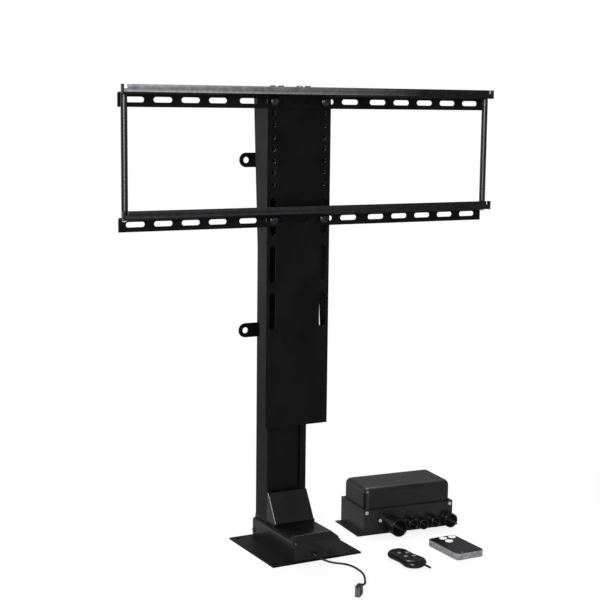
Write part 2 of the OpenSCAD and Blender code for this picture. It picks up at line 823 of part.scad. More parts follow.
// End stop of a rail: a tongue on the ledge and a flange outside, as high as the lip
module end_cap(x, out, z) color(dark_plastic) {
    inside = x - out * cap_over;
    flange = x + out * cap_flange_t;
    tongue_y = lip_back + bend_in;
    span([min(inside, x + out * eps), tongue_y, z + ledge_top],
        [max(inside, x + out * eps), tongue_y + cap_depth, z + ledge_top + lip_relief_z]);
    span([min(x, flange), lip_front, z + ledge_low], [max(x, flange), tongue_y + cap_depth / 2, z + lip_top]);
}

module rail_end_caps() for (z = [rail_z, rail_low_z]) {
    end_cap(rail_x0, -1, z);
    end_cap(rail_x1, 1, z);
}

module rail_screws() color(zinc) for (z = [rail_z, rail_low_z]) both() {
    bar_y(rail_face - eps, plate_back + rail_nut_t + rail_screw_past, hole_span / 2, z, rail_screw_r);
    bar_y(rail_face - screw_flange_t, rail_face, hole_span / 2, z, screw_flange_r);
    bar_y(rail_face - screw_flange_t - screw_head_h, rail_face - screw_flange_t + eps, hole_span / 2, z,
        screw_head_r);
}

module rail_nuts() color(zinc) for (z = [rail_z, rail_low_z]) both() difference() {
    translate([hole_span / 2, plate_back, z]) rotate([-90, 0, 0])
        cylinder(r = rail_nut_r, h = rail_nut_t, $fn = 6);
    bar_y(plate_back - eps, plate_back + rail_nut_t + eps, hole_span / 2, z, rail_screw_r + turn_fit);
}

// Control unit
module at_unit() translate(unit_place) rotate([0, 0, unit_turn]) children();

module unit_screw_spots() {
    for (x = [unit_screw_x, unit_w - unit_screw_x])
        translate([x, 0, unit_screw_z]) children();
    translate([earth_screw[0], 0, earth_screw[1]]) children();
}

module control_tray() color(satin_black) at_unit() difference() {
    union() {
        difference() {
            cube([unit_w, unit_d, tray_h]);
            span([unit_wall, unit_wall, unit_wall], [unit_w - unit_wall, unit_d - unit_wall, tray_h + eps]);
        }
        span([-unit_foot, 0, 0], [eps, unit_d, foot_t]);
        span([unit_w - eps, 0, 0], [unit_w + unit_foot, unit_d, foot_t]);
        for (x = [post_inset, unit_w - post_inset], y = [unit_d / 2 - post_inset, unit_d - post_inset])
            bar_z(unit_wall - eps, unit_wall + post_h, x, y, post_r);
    }
    for (x = [-unit_foot / 2, unit_w + unit_foot / 2], y = [unit_d * 0.15, unit_d * 0.85])
        bar_z(-eps, foot_t + eps, x, y, unit_hole_d / 2);
    for (s = sockets)
        bar_y(-eps, unit_wall + eps, s[0], s[1], s[2] * neck_share);
    unit_screw_spots() bar_y(-eps, unit_wall + eps, 0, 0, unit_screw_r + turn_fit);
}

module control_lid() color(dark_plastic) at_unit() difference() {
    union() {
        lid_block(lid_step, unit_h, lid_r);
        span([0, 0, tray_h], [unit_w, unit_d, tray_h + lid_flange_t]);
    }
    lid_block(lid_step + unit_wall, unit_h - unit_wall, lid_r - unit_wall);
}

// Lid outline: upright rounded edges below and a rounded top
module lid_block(inset, top, r) intersection() {
    hull() for (x = [inset + r, unit_w - inset - r], y = [inset + r, unit_d - inset - r]) {
        translate([x, y, top - r]) sphere(r = r, $fn = 32);
        translate([x, y, tray_h - 2 * r]) cylinder(r = r, h = r, $fn = 32);
    }
    span([0, 0, tray_h - (inset > lid_step ? eps : 0)], [unit_w, unit_d, unit_h + 1]);
}

module control_screws() color(zinc) at_unit() unit_screw_spots() {
    bar_y(-eps, unit_wall + 5, 0, 0, unit_screw_r);
    bar_y(-unit_head_h, 0, 0, 0, unit_head_r);
}

module control_board() color(board_green) at_unit()
    span([board_gap, unit_d / 2 - board_front, unit_wall + post_h],
        [unit_w - board_gap, unit_d - board_gap, unit_wall + post_h + board_t]);

transformer_size = [58, 46, 42];
coil_over = 4;
transformer_front = 20;
transformer_y = unit_d / 2 - transformer_front;
coil_inset = [6, 8];

module transformer() color("#3b3f45") at_unit()
    translate([unit_w - 2 * board_gap - transformer_size[0], transformer_y, unit_wall + post_h + board_t]) {
        cube(transformer_size);
        translate([coil_inset[0], -coil_over, coil_inset[1]])
            cube(transformer_size - 2 * [coil_inset[0], -coil_over, coil_inset[1]]);
    }

module control_sockets() color(dark_plastic) at_unit() for (s = sockets) difference() {
    union() {
        bar_y(-s[3], 0, s[0], s[1], s[2]);
        bar_y(-eps, unit_wall + socket_floor, s[0], s[1], s[2] * neck_share - turn_fit);
    }
    bar_y(-s[3] - eps, -socket_floor, s[0], s[1], s[2] - socket_wall);
}

// Key fob
module at_fob() translate(fob_place) rotate([0, 0, fob_turn]) children();

module fob_form(skin) hull() {
    for (p = [[-fob_stretch, fob_r], [fob_stretch, fob_r * fob_flare]])
        translate([p[0], 0, fob_split]) scale([1, 1, 0.44]) sphere(r = p[1] - skin, $fn = 32);
}

module fob_half(z0, z1) intersection() {
    difference() {
        intersection() {
            fob_form(0);
            span([-4 * fob_r, -2 * fob_r, 0], [4 * fob_r, 2 * fob_r, fob_h]);
        }
        intersection() {
            fob_form(fob_skin);
            span([-4 * fob_r, -2 * fob_r, fob_skin], [4 * fob_r, 2 * fob_r, fob_h - fob_skin]);
        }
    }
    span([-4 * fob_r, -2 * fob_r, z0], [4 * fob_r, 2 * fob_r, z1]);
}

module fob_base() color(dark_plastic) at_fob() difference() {
    fob_half(0, fob_split);
    bar_x(0, 4 * fob_r, aerial_y, fob_split, aerial_r + turn_fit);
}

module fob_top() color(dark_plastic) at_fob() difference() {
    fob_half(fob_split, fob_h);
    for (p = fob_spots)
        bar_z(fob_split, fob_h + eps, p[0], p[1], fob_button_r + button_gap);
    bar_x(0, 4 * fob_r, aerial_y, fob_split, aerial_r + turn_fit);
}

module fob_board() color(board_green) at_fob() {
    span([fob_board_x[0], -fob_board_y, fob_skin], [fob_board_x[1], fob_board_y, fob_board_z]);
    for (p = fob_spots)
        bar_z(fob_board_z - eps, fob_h - fob_skin - switch_drop, p[0], p[1], switch_r);
}

aerial_x = fob_stretch + sqrt(pow(fob_r * fob_flare, 2) - pow(aerial_y, 2));
aerial_root = fob_skin + 2;

module fob_aerial() color(rubber_black) at_fob()
    bar_x(aerial_x - aerial_root, aerial_x + aerial_l, aerial_y, fob_split, aerial_r);

// Push button: a stem through the top shell and a flange that stops under it
module push_button(p, r, shell_top, skin) {
    under = shell_top - skin - button_gap;
    bar_z(under - button_flange_t, shell_top + button_press, p[0], p[1], r);
    bar_z(under - button_flange_t, under, p[0], p[1], r + button_flange);
}

module fob_button(i) color(pale_plastic) at_fob()
    push_button(fob_spots[i], fob_button_r, fob_h, fob_skin);

module fob_button_left() fob_button(0);
module fob_button_back() fob_button(1);
module fob_button_right() fob_button(2);
module fob_button_front() fob_button(3);

// Handset
module at_hand() translate(hand_place) children();

module hand_plan(inset, z0, z1) {
    x = hand_w / 2 - inset;
    y = hand_l / 2 - inset;
    r = hand_r - inset;
    span([-x, r - y, z0], [x, y - r, z1]);
    span([r - x, -y, z0], [x - r, y, z1]);
    for (sx = [-1, 1], sy = [-1, 1])
        bar_z(z0, z1, sx * (x - r), sy * (y - r), r);
}

module hand_base() color(dark_plastic) at_hand() difference() {
    hand_plan(0, 0, hand_split);
    hand_plan(hand_skin, hand_skin, hand_split + eps);
}

module hand_top() color(dark_plastic) at_hand() difference() {
    hand_plan(0, hand_split, hand_h);
    hand_plan(hand_skin, hand_split - eps, hand_h - hand_skin);
    for (p = hand_spots)
        bar_z(hand_split, hand_h + eps, p[0], p[1], hand_button_r + button_gap);
}

module hand_board() color(board_green) at_hand() {
    span([hand_board_low[0], hand_board_low[1], hand_skin], [hand_board_high[0], hand_board_high[1], hand_board_z]);
    for (p = hand_spots)
        bar_z(hand_board_z - eps, hand_h - hand_skin - switch_drop, p[0], p[1], switch_r);
}

module hand_button(i) color(pale_plastic) at_hand()
    push_button(hand_spots[i], hand_button_r, hand_h, hand_skin);

module hand_button_left() hand_button(0);
module hand_button_right() hand_button(1);
module hand_button_front() hand_button(2);

base_plate();
motor_housing();
housing_lid();
column_shroud();
housing_screws();
cable_gland();
motor_lead();
lead_plug();
gear_motor();
gearbox();
screw_bearing();
fixed_column();
upper_wall_strap();
lower_wall_strap();
column_guides();
belt_anchors();
limit_switches();
inner_lead();
lead_screw();
inner_mast();
mast_front_plate();
mast_foot_guides();
lift_nut();
lift_belts();
upper_pulleys();
lower_pulleys();
carriage_frame();
carriage_spine();
guide_shoes();
belt_clamps();
top_cap();
cap_bolts();
upper_rail();
lower_rail();
left_tie_rod();
right_tie_rod();
rod_screws();
rail_end_caps();
rail_screws();
rail_nuts();
control_tray();
control_lid();
control_screws();
control_board();
transformer();
control_sockets();
fob_base();
fob_top();
fob_board();
fob_aerial();
fob_button_left();
fob_button_back();
fob_button_right();
fob_button_front();
hand_base();
hand_top();
hand_board();
hand_button_left();
hand_button_right();
hand_button_front();
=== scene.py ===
# %% [markdown]
# # A television lift, seen as it is sold
#
# A lift of this kind raises a flat screen out of a cabinet. A painted steel column stands on a square
# plate, a mast slides inside it, and a carriage in front of the mast carries two slotted rails. The
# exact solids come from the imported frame. This notebook gives them their looks: softened edges, turned
# screws, moulded cases, a flexible lead, painted and plated surfaces, a stage and a camera.

import json
import math

import bmesh
import bpy
from mathutils import Matrix, Vector


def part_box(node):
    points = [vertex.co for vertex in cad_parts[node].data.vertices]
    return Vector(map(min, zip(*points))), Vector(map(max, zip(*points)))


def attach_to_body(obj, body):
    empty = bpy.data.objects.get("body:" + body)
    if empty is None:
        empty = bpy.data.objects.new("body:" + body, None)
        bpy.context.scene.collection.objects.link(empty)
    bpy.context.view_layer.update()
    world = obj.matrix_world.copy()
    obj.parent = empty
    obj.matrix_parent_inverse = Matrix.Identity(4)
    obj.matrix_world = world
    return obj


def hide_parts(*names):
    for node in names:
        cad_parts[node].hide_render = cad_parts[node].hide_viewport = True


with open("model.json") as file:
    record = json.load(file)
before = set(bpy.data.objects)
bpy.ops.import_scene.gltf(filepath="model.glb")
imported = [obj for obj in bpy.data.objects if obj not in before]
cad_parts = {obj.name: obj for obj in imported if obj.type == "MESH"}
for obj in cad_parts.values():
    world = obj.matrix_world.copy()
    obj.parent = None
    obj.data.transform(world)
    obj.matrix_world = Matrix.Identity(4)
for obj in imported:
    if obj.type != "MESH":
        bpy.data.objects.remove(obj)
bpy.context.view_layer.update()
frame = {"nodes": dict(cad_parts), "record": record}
scene = bpy.context.scene

# %% [markdown]
# ## The camera
#
# The picture was taken from the left, from about the height of the rails and looking down a little,
# with a long lens. The camera could be set by eye, but then every later comparison would carry the error.
# Its place, turn and focal length were instead found from known corners of the object, so they are used
# as they are.

# %% Camera
MM = 0.001
CAMERA_AT = (-1129.67, -2110.48, 797.27)
CAMERA_YAW = math.radians(-28.29)
CAMERA_PITCH = math.radians(8.15)
CAMERA_ROLL = math.radians(0.63)
LENS = 81.51

level = Vector((math.cos(CAMERA_YAW), math.sin(CAMERA_YAW), 0))
flat, rise = math.cos(CAMERA_PITCH), math.sin(CAMERA_PITCH)
back = Vector((level.y * flat, -level.x * flat, rise))
upright = back.cross(level)
across = level * math.cos(CAMERA_ROLL) + upright * math.sin(CAMERA_ROLL)
above = upright * math.cos(CAMERA_ROLL) - level * math.sin(CAMERA_ROLL)

camera = bpy.data.objects.new("camera", bpy.data.cameras.new("camera"))
facing = Matrix((across, above, back)).transposed().to_4x4()
camera.matrix_world = Matrix.Translation(Vector(CAMERA_AT) * MM) @ facing
camera.data.lens = LENS
scene.collection.objects.link(camera)
scene.camera = camera
print("camera:", round(camera.data.lens, 2), "mm lens")

# %% [markdown]
# ## Finishes
#
# Nearly everything here is black, so the pieces are told apart by how they shine. Powder coat is a
# baked plastic skin with a fine orange peel and a low shine. Satin paint on the pressed covers is
# smoother. The upright rods are stoved to a gloss. Zinc plate is a bright metal. Moulded cases have a
# spark-eroded grain. One function builds them all from the same few layers: patches of slightly
# different colour, uneven roughness, and a grain in the surface, each with its size in millimetres. The
# lips of the rails take a painted sheen: a lighter colour that stands in for the light they catch,
# strongest at the left and fading to the right.

# %% Material helpers
def linear(code):
    """An sRGB colour written as hex, in the linear values that shaders use."""
    parts = [int(code[i:i + 2], 16) / 255 for i in (1, 3, 5)]
    return [c / 12.92 if c <= 0.04045 else ((c + 0.055) / 1.055) ** 2.4 for c in parts] + [1.0]


def add(tree, kind, links=(), values=(), **settings):
    """Adds a node with its settings, socket values and incoming links."""
    node = tree.nodes.new(kind)
    for name, value in settings.items():
        setattr(node, name, value)
    for socket, value in dict(values).items():
        node.inputs[socket].default_value = value
    for socket, source in dict(links).items():
        tree.links.new(source, node.inputs[socket])
    return node


def finish(name, dark, light, patch_mm, rough, grain_mm, depth_mm, metal=0.0, shine=0.5,
           stretch=(1, 1, 1), painted_sheen=None):
    """A surface with colour patches, uneven roughness and a grain, sized in millimetres.

    A painted sheen is a lighter colour standing in for caught light; it fades out along X between two places.
    """
    material = bpy.data.materials.new(name)
    material.use_nodes = True
    tree = material.node_tree
    shader = tree.nodes["Principled BSDF"]
    shader.inputs["Metallic"].default_value = metal
    shader.inputs["Specular IOR Level"].default_value = shine
    place = add(tree, "ShaderNodeTexCoord").outputs["Object"]
    place = add(tree, "ShaderNodeMapping", {"Vector": place}, {"Scale": stretch}).outputs["Vector"]
    patch = add(tree, "ShaderNodeTexNoise", {"Vector": place}, {"Scale": 1 / (patch_mm * MM), "Detail": 4.0})
    patch = patch.outputs["Fac"]
    ramp = add(tree, "ShaderNodeValToRGB", {"Fac": patch})
    ramp.color_ramp.elements[0].position = 0.35
    ramp.color_ramp.elements[0].color = linear(dark)
    ramp.color_ramp.elements[1].position = 0.65
    ramp.color_ramp.elements[1].color = linear(light)
    colour = ramp.outputs["Color"]
    # Painted sheen: a lighter colour standing in for caught light, mottled and fading out along X
    if painted_sheen:
        sheen_colour, sheen_from, sheen_to = painted_sheen
        along = add(tree, "ShaderNodeSeparateXYZ", {"Vector": place}).outputs["X"]
        fade = add(tree, "ShaderNodeMapRange", {"Value": along},
                   {"From Min": sheen_from * MM, "From Max": sheen_to * MM, "To Min": 1.0, "To Max": 0.0})
        spots = add(tree, "ShaderNodeMapRange", {"Value": patch},
                    {"From Min": 0.3, "From Max": 0.7, "To Min": 0.55, "To Max": 1.0})
        sheen_share = add(tree, "ShaderNodeMath", {0: fade.outputs["Result"], 1: spots.outputs["Result"]},
                   operation="MULTIPLY")
        mix = add(tree, "ShaderNodeMix", {0: sheen_share.outputs[0], 6: colour}, {7: linear(sheen_colour)}, data_type="RGBA")
        colour = mix.outputs[2]
    tree.links.new(colour, shader.inputs["Base Color"])
    grain = add(tree, "ShaderNodeTexNoise", {"Vector": place}, {"Scale": 1 / (grain_mm * MM), "Detail": 2.0})
    uneven = add(tree, "ShaderNodeMapRange", {"Value": patch},
                 {"From Min": 0.3, "From Max": 0.7, "To Min": rough[0], "To Max": rough[1]})
    tree.links.new(uneven.outputs["Result"], shader.inputs["Roughness"])
    bump = add(tree, "ShaderNodeBump", {"Height": grain.outputs["Fac"]}, {"Distance": depth_mm * MM})
    tree.links.new(bump.outputs["Normal"], shader.inputs["Normal"])
    return material


# %% Materials
# Black polyester powder coat on folded sheet steel
powder_coat = finish("black_powder_coat", "#050506", "#0a0a0c", 60, (0.34, 0.46), 1.4, 0.02, shine=0.17)
# The same coat with a painted sheen on the top lip, lighter at the left and fading to the right
lip_sheen_coat = finish("powder_coat_lip_painted_sheen", "#0c0c0d", "#161618", 9, (0.4, 0.55), 1.4, 0.02, shine=0.25,
                     painted_sheen=("#98989c", -290, 240))
# The lower lip's coat, with a fainter painted sheen
lower_lip_sheen_coat = finish("powder_coat_lower_lip_painted_sheen", "#0c0c0d", "#161618", 9, (0.4, 0.55), 1.4, 0.02, shine=0.25,
                      painted_sheen=("#2a2a2d", -290, 240))
# Satin air-drying paint on the pressed covers
satin_paint = finish("satin_black_paint", "#09090a", "#111113", 45, (0.18, 0.28), 1.8, 0.02, shine=0.6)
# The same paint in light grey, a painted highlight along a rolled edge
edge_highlight_paint = finish("satin_paint_painted_highlight", "#5a5a5e", "#8a8a8e", 6, (0.25, 0.4), 1.2, 0.02)
# Hammered paint on the control unit's tray
hammered_paint = finish("hammered_black_paint", "#0a0a0b", "#161618", 9, (0.2, 0.34), 2.6, 0.16, shine=0.6)
# Stoved gloss enamel on drawn steel rod
gloss_enamel = finish("gloss_black_enamel", "#050506", "#0a0a0b", 30, (0.3, 0.36), 2.5, 0.006, shine=0.8)
# Bright zinc plate on turned steel
zinc = finish("bright_zinc_plate", "#b9bbbf", "#d2d4d8", 6, (0.25, 0.4), 0.8, 0.01, metal=0.6)
# Plain oiled steel of the bolts in the top cap and the rails
oiled_steel = finish("oiled_steel", "#4c4d50", "#626468", 5, (0.25, 0.4), 0.8, 0.01, metal=1.0)
# Chemically blackened steel of the cover screws and washers
black_oxide = finish("black_oxide_steel", "#0c0c0d", "#17171a", 4, (0.25, 0.4), 0.7, 0.01, shine=0.5)
# Rolled zinc-coated steel of the inner parts, which also shows bright in the carriage's holes
rolled_zinc = finish("rolled_zinc_steel", "#8f9296", "#a5a8ac", 14, (0.3, 0.48), 1.2, 0.01, metal=1.0)
# Black moulded plastic with a spark-eroded grain
grained_plastic = finish("grained_black_plastic", "#080708", "#0e0c0d", 25, (0.34, 0.46), 1.6, 0.05,
                         shine=0.62)
# Black moulded plastic with a smooth skin
smooth_plastic = finish("smooth_black_plastic", "#0a0a0b", "#121214", 20, (0.2, 0.32), 1.6, 0.008, shine=0.45)
# Grey plastic of the handset's lower shell, its sides and its lamp
grey_plastic = finish("grey_moulded_plastic", "#66666a", "#86868a", 6, (0.25, 0.4), 1.8, 0.05, shine=0.5)
# Pale keys moulded in coloured plastic
key_plastic = finish("pale_key_plastic", "#e4e4e0", "#f2f2ee", 5, (0.3, 0.4), 1.0, 0.01)
# Smoke-grey keys of the fob
smoke_plastic = finish("smoke_key_plastic", "#5c5c60", "#77777b", 3, (0.1, 0.2), 1.0, 0.01)
# Pale nylon insert of the connector
pale_insert = finish("pale_nylon_insert", "#5c5c5a", "#6e6e6c", 3, (0.35, 0.5), 0.9, 0.01)
# Black acetal of the slide guides
acetal = finish("black_acetal", "#101012", "#18181a", 12, (0.4, 0.5), 1.5, 0.01, shine=0.4)
# Cast tin bronze of the lift nut
bronze = finish("cast_bronze", "#8f6f3a", "#a88a4e", 5, (0.3, 0.45), 0.7, 0.02, metal=1.0)
# Green solder mask on glass fibre
solder_mask = finish("green_solder_mask", "#0f3d22", "#1b5a33", 7, (0.2, 0.35), 2.0, 0.03)
# Varnished iron laminations, stacked in thin layers
laminations = finish("varnished_iron", "#2e3034", "#4a4d52", 3, (0.35, 0.5), 0.6, 0.03, stretch=(1, 1, 6))
# Extruded black rubber
rubber = finish("extruded_black_rubber", "#0c0c0c", "#131313", 8, (0.4, 0.55), 0.7, 0.015, shine=0.35)
print("materials:", len(bpy.data.materials))

# %% [markdown]
# ## The motor lead
#
# A round lead leaves the front of the housing through a moulded gland, drops to the floor and lies
# there in one easy bend up to a four-way connector. It could be a chain of cylinders, but a lead has no
# joints, so it is one curve with a round section. Its route is the one that the solid model follows.

# %% Piece helpers
home = {node: body for body, nodes in frame["record"]["behaviour"]["bodies"].items() for node in nodes}
slot_of = {part["node"]: part["material_slot"] for part in frame["record"]["subparts"]}


def attach(piece, material, *nodes):
    """Dresses a new piece, lets it ride with the solid that it stands for, and hides that solid."""
    scene.collection.objects.link(piece)
    piece.data.materials.append(material)
    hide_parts(*nodes)
    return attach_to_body(piece, home[nodes[0]])


def piece_of(name, form, material, *nodes, crease=35, second=None):
    """Turns a form in millimetres into a piece in metres. Tinted faces take the second material."""
    bmesh.ops.recalc_face_normals(form, faces=form.faces)
    bmesh.ops.scale(form, vec=(MM, MM, MM), verts=form.verts)
    mesh = bpy.data.meshes.new(name)
    form.to_mesh(mesh)
    form.free()
    mesh.shade_smooth()
    mesh.set_sharp_from_angle(angle=math.radians(crease))
    piece = attach(bpy.data.objects.new(name, mesh), material, *nodes)
    if second:
        mesh.materials.append(second)
    even = piece.modifiers.new("even_shading", "WEIGHTED_NORMAL")
    even.keep_sharp = True
    return piece


# %% Lead
LEAD_D = 3.6
LEAD_ROUTE = [
    (-3, -99, 9.5), (-2.5, -104, 9.2), (0, -110, 8), (5, -115, 6.2), (11, -118.5, 4.4), (19, -122, 2.8),
    (26, -126, 2.1), (31.5, -132, 2), (35, -140, 2), (37, -149, 2), (37.5, -159, 2), (37, -169, 2),
    (36, -179, 2), (33.5, -189, 2), (30, -198.5, 2), (25.5, -208, 2), (20, -217.5, 2.4), (14, -228.5, 3.6),
    (6, -240.5, 6), (-5, -252.5, 9.2), (-16.5, -264, 12),
]
lead_curve = bpy.data.curves.new("motor_lead_cord", "CURVE")
lead_curve.dimensions = "3D"
lead_curve.bevel_depth = LEAD_D / 2 * MM
lead_curve.bevel_resolution = 6
lead_curve.use_fill_caps = True
line = lead_curve.splines.new("BEZIER")
line.bezier_points.add(len(LEAD_ROUTE) - 1)
line.resolution_u = 6
for point, spot in zip(line.bezier_points, LEAD_ROUTE):
    point.co = Vector(spot) * MM
    point.handle_left_type = "AUTO"
    point.handle_right_type = "AUTO"
lead = attach(bpy.data.objects.new("motor_lead_cord", lead_curve), rubber, "motor_lead")

# %% [markdown]
# ## Turned and moulded small parts
#
# Screw heads, glands and sockets are round about one axis. On the real thing they come off a lathe, a
# header or out of a split mould. Here a half outline is spun round the axis, as a lathe would see it.
# Each outline is a short list of radius and height in millimetres.

# %% Turning and carving helpers
def turned(outline, steps=32, closed=False):
    """A form of revolution about Z from a list of (radius, height)."""
    form = bmesh.new()
    verts = [form.verts.new((r, 0, h)) for r, h in outline]
    pairs = list(zip(verts, verts[1:]))
    if closed:
        pairs.append((verts[-1], verts[0]))
    edges = [form.edges.new(pair) for pair in pairs]
    bmesh.ops.spin(form, geom=verts + edges, axis=(0, 0, 1), cent=(0, 0, 0), angle=math.tau, steps=steps,
                   use_merge=True)
    bmesh.ops.remove_doubles(form, verts=form.verts, dist=0.001)
    bmesh.ops.recalc_face_normals(form, faces=form.faces)
    return form


def pin_of(radius, low, high, steps=32):
    """A plain round bar about Z, or a prism with as many sides as there are steps."""
    return turned([(0, low), (radius, low), (radius, high), (0, high)], steps)


def rounded(form, edges, width, steps, clamp=False):
    """A form with some of its edges rounded over a width."""
    bmesh.ops.bevel(form, geom=edges, offset=width, segments=steps, profile=0.5, affect="EDGES",
                    material=-1, clamp_overlap=clamp)
    return form


def block(low, high, soften=0.0, steps=3, only=None):
    """A block between two corners with its edges rounded, all of them or those that pass a test."""
    form = bmesh.new()
    size = [b - a for a, b in zip(low, high)]
    middle = [(a + b) / 2 for a, b in zip(low, high)]
    bmesh.ops.create_cube(form, size=1, matrix=Matrix.Translation(middle) @ Matrix.Diagonal(size).to_4x4())
    edges = [edge for edge in form.edges if only is None or only(edge)]
    return rounded(form, edges, soften, steps) if soften else form


def stamped(form, *places):
    """One form that holds a copy of a form at each place."""
    mesh = bpy.data.meshes.new("stamp")
    form.to_mesh(mesh)
    form.free()
    whole = bmesh.new()
    for place in places:
        copy = mesh.copy()
        copy.transform(place)
        whole.from_mesh(copy)
        bpy.data.meshes.remove(copy)
    bpy.data.meshes.remove(mesh)
    return whole


def gathered(*forms):
    """Several forms as one."""
    whole = bmesh.new()
    for form in forms:
        mesh = bpy.data.meshes.new("gather")
        form.to_mesh(mesh)
        form.free()
        whole.from_mesh(mesh)
        bpy.data.meshes.remove(mesh)
    return whole


def tinted(form, test=lambda face: True):
    """Marks the faces that pass a test for a piece's second material."""
    for face in form.faces:
        if test(face):
            face.material_index = 1
    return form


def carved(form, cutter):
    """A form with a cutter's room taken out of it."""
    objects = []
    for each in (form, cutter):
        bmesh.ops.recalc_face_normals(each, faces=each.faces)
        mesh = bpy.data.meshes.new("carve")
        each.to_mesh(mesh)
        each.free()
        objects.append(bpy.data.objects.new("carve", mesh))
        scene.collection.objects.link(objects[-1])
    cut = objects[0].modifiers.new("cut", "BOOLEAN")
    cut.object = objects[1]
    cut.solver = "EXACT"
    shaped = objects[0].evaluated_get(bpy.context.evaluated_depsgraph_get()).to_mesh()
    result = bmesh.new()
    result.from_mesh(shaped)
    for each in objects:
        bpy.data.objects.remove(each)
    return result


TO_FRONT = Matrix.Rotation(math.pi / 2, 4, "X")
TO_RIGHT = Matrix.Rotation(math.pi / 2, 4, "Y")
TO_LEFT = Matrix.Rotation(-math.pi / 2, 4, "Y")


def at(x, y, z):
    """A move to a place."""
    return Matrix.Translation((x, y, z))


def spun(angle):
    """A turn about Z, in radians."""
    return Matrix.Rotation(angle, 4, "Z")


def middle_of(box):
    """The point halfway between two corners."""
    return (box[0] + box[1]) / 2


def solid_boxes(node):
    """The lowest and highest corners of each separate solid of a node, in millimetres."""
    form = bmesh.new()
    form.from_mesh(frame["nodes"][node].data)
    bmesh.ops.remove_doubles(form, verts=form.verts, dist=1e-6)
    left = set(form.verts)
    boxes = []
    while left:
        island = {left.pop()}
        front = set(island)
        while front:
            front = {e.other_vert(v) for v in front for e in v.link_edges} - island
            island |= front
        left -= island
        spans = [[v.co[i] / MM for v in island] for i in range(3)]
        boxes.append((Vector([min(s) for s in spans]), Vector([max(s) for s in spans])))
    form.free()
    return sorted(boxes, key=lambda b: tuple(round(c, 2) for c in b[0]))


# %% Gland and connector
GLAND_L, GLAND_RIDGES, RIDGE_FROM, RIDGE_PITCH = 18, 3, 9.1, 2.6
gland_x, gland_y, gland_z = LEAD_ROUTE[0]
gland_outline = [(2.0, -3), (3.8, -3), (3.8, 6), (5.5, 6), (5.5, 7.6), (4.9, 8)]
for ridge in range(GLAND_RIDGES):
    top = RIDGE_FROM + RIDGE_PITCH * ridge
    valley, crest = 4.1 - 0.3 * ridge, 4.8 - 0.4 * ridge
    gland_outline += [(valley, top - 0.7), (valley, top), (crest, top + 0.3), (crest, top + 1.4)]
gland_outline += [(3.3, GLAND_L - 0.4), (2.9, GLAND_L), (2.0, GLAND_L)]
gland = stamped(turned(gland_outline, 32, closed=True), at(gland_x, gland_y + GLAND_L, gland_z) @ TO_FRONT)
piece_of("cable_gland_moulding", gland, smooth_plastic, "cable_gland")

PLUG_L, PLUG_W, PLUG_H = 19, 9, 18
PLUG_TURN = math.radians(224)
PLUG_WAYS, PLUG_PITCH = 4, 4
way_heights = [PLUG_H / 2 + (i - (PLUG_WAYS - 1) / 2) * PLUG_PITCH for i in range(PLUG_WAYS)]
plug_shell = block((0, -PLUG_W / 2, 0), (PLUG_L, PLUG_W / 2, PLUG_H), 0.8)
mouth = block((PLUG_L - 9, -PLUG_W / 2 + 0.9, 0.9), (PLUG_L + 1, PLUG_W / 2 - 0.9, PLUG_H - 0.9))
insert = block((PLUG_L - 10, -PLUG_W / 2 + 0.8, 0.8), (PLUG_L - 0.6, PLUG_W / 2 - 0.8, PLUG_H - 0.8), 0.3)
well = block((PLUG_L - 8, -2.2, -1.2), (PLUG_L + 1, 2.2, 1.2), 0.4)
wells = stamped(well, *[at(0, 0, height) for height in way_heights])
insert = tinted(carved(insert, wells))
latch = block((4, PLUG_W / 2 - 1.2, 6), (PLUG_L - 2, PLUG_W / 2, 12), 0.4)
plug_at = at(LEAD_ROUTE[-1][0], LEAD_ROUTE[-1][1], 0) @ spun(PLUG_TURN)
plug_form = stamped(gathered(carved(plug_shell, mouth), latch, insert), plug_at)
plug = piece_of("lead_connector", plug_form, smooth_plastic, "lead_plug", second=pale_insert)
print("gland and connector made")

# %% [markdown]
# ## Screws, bolts and nuts
#
# The covers are held by pan-head screws with a cross recess, the top cap by hexagon bolts, and the
# rails by flanged bolts with a hexagon socket. A head could be left as a plain disc, since it is only a
# few pixels wide, but it is the chamfer, the recess and the flange that make the bright crescents that
# show on every one of them. Each head is turned, and its recess is carved with a cutter.

# %% Fasteners
def cross_head(radius, height, shank_r, shank_l):
    """A pan-head screw with a cross recess, its seat at zero and its head upward."""
    crown = [(0, height), (radius * 0.45, height), (radius * 0.8, height * 0.86)]
    rim = [(radius * 0.97, height * 0.45), (radius, height * 0.12), (radius * 0.96, 0)]
    head = turned(crown + rim + [(shank_r, 0), (shank_r, -shank_l), (0, -shank_l)])
    arm, half = radius * 0.62, radius * 0.13
    for x, y in ((arm, half), (half, arm)):
        head = carved(head, block((-x, -y, height * 0.35), (x, y, height + 1)))
    return head


def socket_head(flange_r, flange_t, head_r, head_h, shank_r, shank_l):
    """A flanged bolt with a hexagon socket."""
    top = flange_t + head_h
    head = turned([(0, top), (head_r * 0.82, top), (head_r, top - head_h * 0.25), (head_r, flange_t * 1.4),
                   (flange_r * 0.9, flange_t), (flange_r, flange_t * 0.6), (flange_r, 0), (shank_r, 0),
                   (shank_r, -shank_l), (0, -shank_l)])
    return carved(head, pin_of(head_r * 0.52, top - head_h * 0.7, top + 1, 6))


def hex_head(radius, height, shank_r, shank_l):
    """A hexagon bolt head with a washer face and a chamfered top, over a round shank."""
    washer_r, washer_t = radius * 0.84, 0.5
    prism = pin_of(radius, washer_t, height, 6)
    rim = [edge for edge in prism.edges if all(v.co.z > height - 0.01 for v in edge.verts)
           and all(v.co.xy.length > radius / 2 for v in edge.verts)]
    rounded(prism, rim, radius * 0.12, 2)
    shank = turned([(0, washer_t), (washer_r, washer_t), (washer_r, 0), (shank_r, 0), (shank_r, -shank_l),
                    (0, -shank_l)])
    return gathered(prism, shank)


# Screws further forward than this are in the housing's front, the others in its sides
FRONT_FROM = -60


